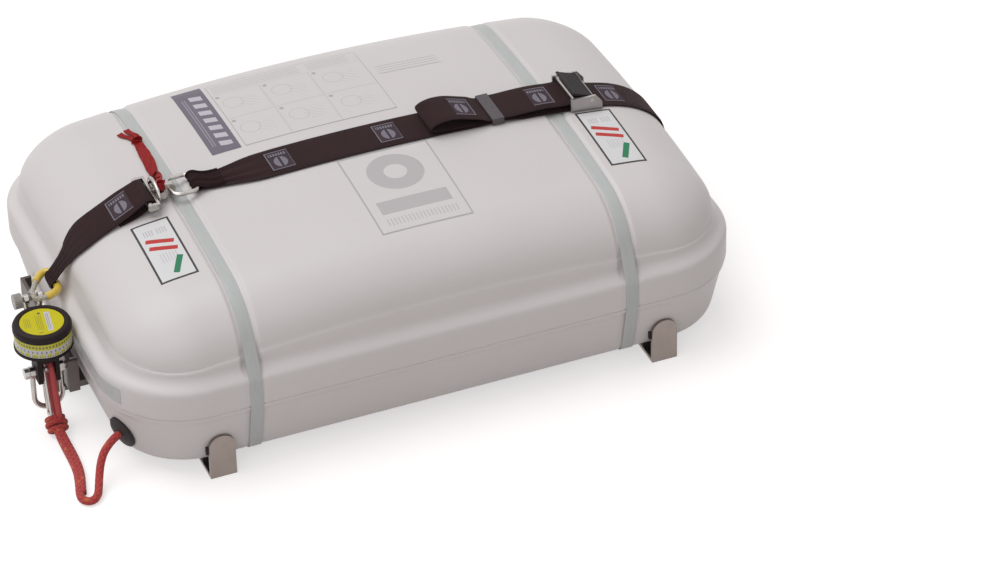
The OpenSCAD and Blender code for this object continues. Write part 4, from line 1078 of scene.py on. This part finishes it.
def sheet_faces(nu, nv):
    """Faces of a thin sheet: its outer grid, the inner one, and the edge between them."""
    row, size = nu + 1, (nu + 1) * (nv + 1)
    faces = []
    for a in (j * row + i for j in range(nv) for i in range(nu)):
        faces.append((a, a + 1, a + row + 1, a + row))
        faces.append((size + a + row, size + a + row + 1, size + a + 1, size + a))
    rim = [*range(row), *(row * j + nu for j in range(1, nv + 1))]
    rim += [row * nv + i for i in range(nu - 1, -1, -1)]
    rim += [row * j for j in range(nv - 1, 0, -1)]
    return faces + [(b, a, size + a, size + b) for a, b in zip(rim, rim[1:] + rim[:1])]


panel_lifts, panel_grid = (0.00035, 0.00012), 0.004


def panel(name, x0, x1, y0, y1, material):
    """A thin sheet on the lid between two corners. Its UV map is metres from x0, y0."""
    nx, ny = (max(4, int(length / panel_grid)) for length in (x1 - x0, y1 - y0))
    verts, uvs = [], []
    for lift in panel_lifts:
        for j in range(ny + 1):
            for i in range(nx + 1):
                x, y = x0 + (x1 - x0) * i / nx, y0 + (y1 - y0) * j / ny
                verts.append(Vector((x, y, lid_height(x, y) + lift)))
                uvs.append((x - x0, y - y0))
    piece = new_piece(name, verts, sheet_faces(nx, ny), uvs)
    close_up(piece, 0, 40)
    finish_piece(piece, material)


def printed(name, ground, marks, ground_noise=0.02):
    """A print: a pale ground, and marks with a colour, a strength and a shape each."""
    material, tree, shader = blank_material(name)
    u, v = uv_parts(tree)
    light = tuple(min(1, c + ground_noise) for c in ground)
    colour = blend_colours(clouds(tree, 70.0, 3.0), ground, light)
    for ink, strength, shape in marks:
        colour = blend_colours(times(shape(u, v), strength), colour, ink)
    surface(shader, colour, 0.40, Specular_IOR_Level=0.35)
    return material


def block(left, right_edge, low, high):
    return lambda u, v: box_mask(u, v, left, right_edge, low, high)


def outline(left, right_edge, low, high, thick):
    inside = (left + thick, right_edge - thick, low + thick, high - thick)
    return lambda u, v: minus(box_mask(u, v, left, right_edge, low, high), box_mask(u, v, *inside))


def rows(left, right_edge, low, high, pitch, share, lean=None, across=True):
    """Lines at a pitch in a rectangle: across it, up it, or leaning."""
    def shape(u, v):
        at = plus(v, times(u, lean)) if lean else u if across else v
        lines = dashes(divided(at, pitch), share)
        return times(lines, box_mask(u, v, left, right_edge, low, high))
    return shape


def stroke(u0, v0, u1, v1, width):
    """A straight bar between two points of the panel."""
    length = math.hypot(u1 - u0, v1 - v0)
    c, s = (u1 - u0) / length, (v1 - v0) / length

    def shape(u, v):
        du, dv = minus(u, u0), minus(v, v0)
        run, off = plus(times(du, c), times(dv, s)), minus(times(dv, c), times(du, s))
        return times(near(run, length / 2, length / 2), near(off, 0.0, width / 2))
    return shape


def ring_mark(cx, cy, outer, inner):
    def shape(u, v):
        du, dv = minus(u, cx), minus(v, cy)
        r = root(plus(times(du, du), times(dv, dv)))
        return near(r, (outer + inner) / 2, (outer - inner) / 2)
    return shape


gel = (0.715, 0.678, 0.666)
ink_grey, ink_pale, ink_black = (0.26, 0.25, 0.27), (0.62, 0.60, 0.64), (0.035, 0.030, 0.032)
ink_violet, ink_red, ink_green = (0.155, 0.135, 0.175), (0.54, 0.032, 0.024), (0.010, 0.20, 0.085)
title_print = printed("title_print", ink_violet, [
    (ink_pale, 0.9, rows(0.0150, 0.0290, 0.0120, 0.1300, 0.0175, 0.55, lean=0.25)),
    (ink_pale, 0.35, rows(0.0050, 0.0110, 0.0150, 0.1250, 0.0030, 0.42)),
], ground_noise=0.012)
panel("title_panel", -0.162, -0.1275, 0.0365, 0.181, title_print)
cells = [(ink_grey, 0.42, outline(0.0, 0.180, 0.0, 0.1400, 0.0008))]
for low, high in ((0.0, 0.0595), (0.0603, 0.1160)):
    for left, right_edge in ((0.0, 0.0558), (0.0566, 0.1150), (0.1158, 0.180)):
        mid_u, mid_v = (left + right_edge) / 2, (low + high) / 2
        leaning = (mid_u - 0.004, mid_u + 0.018, mid_v - 0.012, mid_v + 0.010)
        cells += [
            (ink_grey, 0.30, outline(left, right_edge, low, high, 0.0006)),
            (ink_grey, 0.22, ring_mark(mid_u - 0.010, mid_v + 0.004, 0.0120, 0.0108)),
            (ink_grey, 0.20, rows(*leaning, 0.0075, 0.16, lean=0.8)),
            (ink_grey, 0.55, ring_mark(left + 0.005, high - 0.006, 0.0026, 0.0)),
        ]
cells += [
    (ink_grey, strength, rows(left, right_edge, low, high, 0.0046, 0.34, across=False))
    for strength, left, right_edge, low, high in (
        (0.30, 0.004, 0.108, 0.1195, 0.1375), (0.30, 0.118, 0.168, 0.1195, 0.1375),
        (0.28, 0.120, 0.176, 0.1395, 0.1400),
    )
]
panel("steps_panel", -0.1225, 0.0575, 0.0370, 0.1770, printed("steps_print", gel, cells))
note_rows = rows(0.002, 0.073, 0.001, 0.020, 0.0052, 0.26, across=False)
note_print = printed("note_print", gel, [(ink_grey, 0.42, note_rows)])
panel("note_panel", 0.066, 0.141, 0.1140, 0.1350, note_print)
sticker_print = printed("sticker_print", (0.76, 0.75, 0.75), [
    (ink_black, 1.0, outline(0.0, 0.0430, 0.0, 0.1040, 0.0023)),
    (ink_grey, 0.42, rows(0.0080, 0.0200, 0.0800, 0.0900, 0.0030, 0.42)),
    (ink_grey, 0.42, rows(0.0240, 0.0360, 0.0800, 0.0900, 0.0030, 0.42)),
    (ink_grey, 0.30, rows(0.0120, 0.0320, 0.0300, 0.0460, 0.0034, 0.34)),
    (ink_red, 1.0, stroke(0.007, 0.073, 0.036, 0.062, 0.0064)),
    (ink_red, 1.0, stroke(0.007, 0.060, 0.036, 0.049, 0.0064)),
    (ink_green, 1.0, stroke(0.034, 0.036, 0.021, 0.010, 0.0068)),
])
panel("left_sticker", -0.286, -0.243, -0.149, -0.045, sticker_print)
panel("right_sticker", 0.240, 0.283, -0.144, -0.040, sticker_print)
front_print = printed("front_print", gel, [
    (ink_grey, 0.50, outline(0.0, 0.106, 0.0, 0.140, 0.0018)),
    (ink_grey, 0.42, ring_mark(0.053, 0.098, 0.0320, 0.0130)),
    (ink_grey, 0.42, block(0.012, 0.094, 0.0300, 0.0520)),
    (ink_grey, 0.30, rows(0.010, 0.096, 0.0100, 0.0220, 0.0042, 0.40)),
])
panel("front_panel", -0.043, 0.063, -0.177, -0.037, front_print)

# Rim label: a narrow grey foil strip, rubbed by use, stuck on the flat of the lid's rim
# at the left end and round into the front corner. Its print is rows of short bars.
strip_material, tree, shader = blank_material("rim_foil")
u, v = uv_parts(tree)
foil = blend_colours(clouds(tree, 120.0, 5.0), (0.44, 0.44, 0.44), (0.60, 0.60, 0.59))
faint = times(rows(0.010, 0.100, 0.004, 0.020, 0.0026, 0.4)(u, v), 0.30)
surface(shader, blend_colours(faint, foil, (0.20, 0.20, 0.21)), 0.4)
label_long, straight_part, label_steps, label_foot = 0.110, 0.060, 24, 0.0925
label_levels = (0.0935, 0.0975, 0.1035, 0.1095, 0.1135)
label_line = []
for k in range(label_steps + 1):
    s = label_long * k / label_steps
    if s < straight_part:
        label_line.append((-half_l, -0.091 - s, -1.0, 0.0, s))
    else:
        a = (s - straight_part) / rim_r
        dx, dy = -math.cos(a), -math.sin(a)
        label_line.append((-flat_x + rim_r * dx, -flat_y + rim_r * dy, dx, dy, s))
verts, uvs = [], []
for lift in (0.00035, -0.0002):
    for x, y, dx, dy, s in label_line:
        for z in label_levels:
            verts.append(Vector((x + dx * lift, y + dy * lift, z)))
            uvs.append((s, z - label_foot))
rim_label = new_piece("rim_label", verts, sheet_faces(4, label_steps), uvs)
close_up(rim_label, 0, 40)
finish_piece(rim_label, strip_material)

# Seal: a thin red tape, tied by hand round the hook's tongue and on to the band, so that a
# broken tape shows that the hook was opened. It is crumpled, and its free end is split.
tape_t = 0.0007


def tape_strip(name, path, width, across, crumple, swell=0.0):
    """A thin strip of tape along a path that lies about level, cut square at both ends."""
    verts, uvs = [], []
    rows_across = 6
    for i, (point, way, run) in enumerate(stations(path)):
        over = (across - way * across.dot(way)).normalized()
        out = way.cross(over).normalized()
        if out.z < 0:
            out = -out
        full = width * (1 + swell * math.sin(math.pi * i / (len(path) - 1)) - swell * 0.35)
        for face in (1, -1):
            for k in range(rows_across + 1):
                at = (k / rows_across - 0.5) * face
                ripple = math.sin(run * 410 + at * 7) * 0.6 + math.sin(run * 230 - at * 11) * 0.4
                lift = face * tape_t / 2 + crumple * ripple
                verts.append(point + over * (at * full) + out * lift)
                uvs.append((run, at * width))
    tape = strip_piece(name, verts, uvs, 2 * (rows_across + 1), 60)
    finish_piece(tape, tape_material)
    return tape


def on_lid(x, y, lift):
    """A point over the lid, in millimetres, lifted off its surface."""
    return (x, y, lid_height(x * MM, y * MM) / MM + lift)


def winding(count, steps, point):
    """So many points of a winding, with steps to a whole turn."""
    return [point(2 * math.pi * k / steps) for k in range(count)]


tape_material = worked(
    "red_tape", (0.165, 0.006, 0.007), (0.40, 0.016, 0.016), 120, 0.62, bump=0.0008,
    stretch=(3, 1, 1), Specular_IOR_Level=0.22,
)
along_lid, upright = Vector((1, 0, 0)), Vector((0, 0, 1))
run_points = [
    on_lid(x, y, 1.7)
    for x, y in (
        (-232, 24), (-231, 36), (-230, 48), (-228.5, 60), (-228, 72), (-227.5, 84),
        (-227, 96), (-227, 104),
    )
]
tape_run = tape_strip("seal_tape_run", route(run_points, 8), 0.0105, along_lid, 0.0008, 0.5)
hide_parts("seal_tape")
bight_points = [
    (-233, 8, 221.5), (-236, 4.5, 223.2), (-240, 3, 223.8), (-243.5, 5, 222.6),
    (-243, 10, 220.6), (-238.5, 16, 219.9), (-233, 22, 219.9), (-231.5, 28, 219.4),
]
tape_strip("seal_tape_bight", route(bight_points, 6), 0.0085, Vector((0.3, 0.2, 1)), 0.0004)
knot_z = on_lid(-227, 106, 2.6)[2]
knot_points = winding(12, 10, lambda a: (
    -227 + 6.0 * math.cos(a), 106 + 3.6 * math.sin(a), knot_z + 1.2 * math.sin(2 * a)
))
tape_strip("seal_tape_knot", route(knot_points, 4), 0.0050, upright, 0.0003)
lever_turn = winding(
    14, 12, lambda a: (-240, -10 + 4.9 * math.cos(a), 228.4 + 2.9 * math.sin(a))
)
tangle = winding(25, 9, lambda a: (
    -239.5 + 4.4 * math.cos(a), -15.6 + 3.5 * math.sin(a),
    229.4 + 2.7 * math.sin(0.62 * a + 0.8),
))
lead = [
    (-238, -7, 230.6), (-236, -1, 228.6), (-233.6, 6, 225.2), (-231.8, 14, 222.4),
    (-231.5, 25, 219.8),
]
tape_strip("seal_tape_turn", route(lever_turn, 5), 0.0066, along_lid, 0.0004)
tape_strip("seal_tape_tangle", route(tangle, 5), 0.0056, Vector((0.3, 0, 1)), 0.0004)
tape_strip("seal_tape_lead", route(lead, 5), 0.0070, along_lid, 0.0004)
for tail, places in enumerate((
    ((-228, 107), (-230, 114), (-233, 120), (-237, 126), (-239.5, 132)),
    ((-226, 108), (-224, 116), (-226, 124), (-229, 130), (-230, 136)),
)):
    tail_points = [on_lid(x, y, 1.5) for x, y in places]
    tape_strip(
        f"seal_tape_tail_{tail}", route(tail_points, 6), 0.0070, Vector((1, 0.2, 0)), 0.0005
    )

# Floor and studio: a plain pale floor that keeps the shadow, a white surround, a broad
# lamp above and behind on the left, and a weak one from the front.
bpy.ops.object.select_all(action="DESELECT")
bpy.ops.mesh.primitive_plane_add(size=14, location=(0, 0, 0))
floor = bpy.context.object
floor.name = "floor"
floor_material, tree, shader = blank_material("pale_floor")
shader.inputs["Base Color"].default_value = (0.64, 0.61, 0.60, 1)
shader.inputs["Roughness"].default_value = 0.9
shader.inputs["Specular IOR Level"].default_value = 0.1


def seen(tree):
    """1 for what the camera sees, also in metal or through glass, 0 for other light."""
    rays = node(tree, "ShaderNodeLightPath").outputs
    return larger(
        rays["Is Camera Ray"], larger(rays["Is Glossy Ray"], rays["Is Transmission Ray"])
    )


plain = shader.outputs[0]
glow = node(tree, "ShaderNodeEmission", {"Color": (1, 1, 1, 1), "Strength": 0.56})
both = node(tree, "ShaderNodeAddShader", {0: plain, 1: glow.outputs[0]})
chosen = node(tree, "ShaderNodeMixShader", {0: seen(tree), 1: plain, 2: both.outputs[0]})
tree.links.new(chosen.outputs[0], tree.nodes["Material Output"].inputs["Surface"])
floor.data.materials.append(floor_material)

world = bpy.data.worlds.new("studio")
bpy.context.scene.world = world
world.use_nodes = True
tree = world.node_tree
background = tree.nodes["Background"]
in_view = seen(tree)
tree.links.new(
    blend_colours(in_view, (1.0, 0.955, 0.935), (1.0, 1.0, 1.0)), background.inputs["Color"]
)
tree.links.new(scaled(in_view, 0.72, 0.28), background.inputs["Strength"])


def lamp(name, kind, energy, towards, size, place=(0, 0, 3)):
    data = bpy.data.lights.new(name, kind)
    data.energy = energy
    data.color = (0.985, 1.0, 1.03)
    if kind == "SUN":
        data.angle = size
    else:
        data.size = size
    holder = bpy.data.objects.new(name, data)
    bpy.context.scene.collection.objects.link(holder)
    holder.location = place
    holder.rotation_mode = "QUATERNION"
    holder.rotation_quaternion = Vector(towards).to_track_quat("-Z", "Y")


lamp("key", "SUN", 1.62, (0.36, -0.36, -1.25), math.radians(50))
lamp("fill", "AREA", 34, (0.45, 0.75, -0.62), 3.4, (-1.8, -3.0, 2.5))
bpy.context.scene.view_settings.view_transform = "Standard"
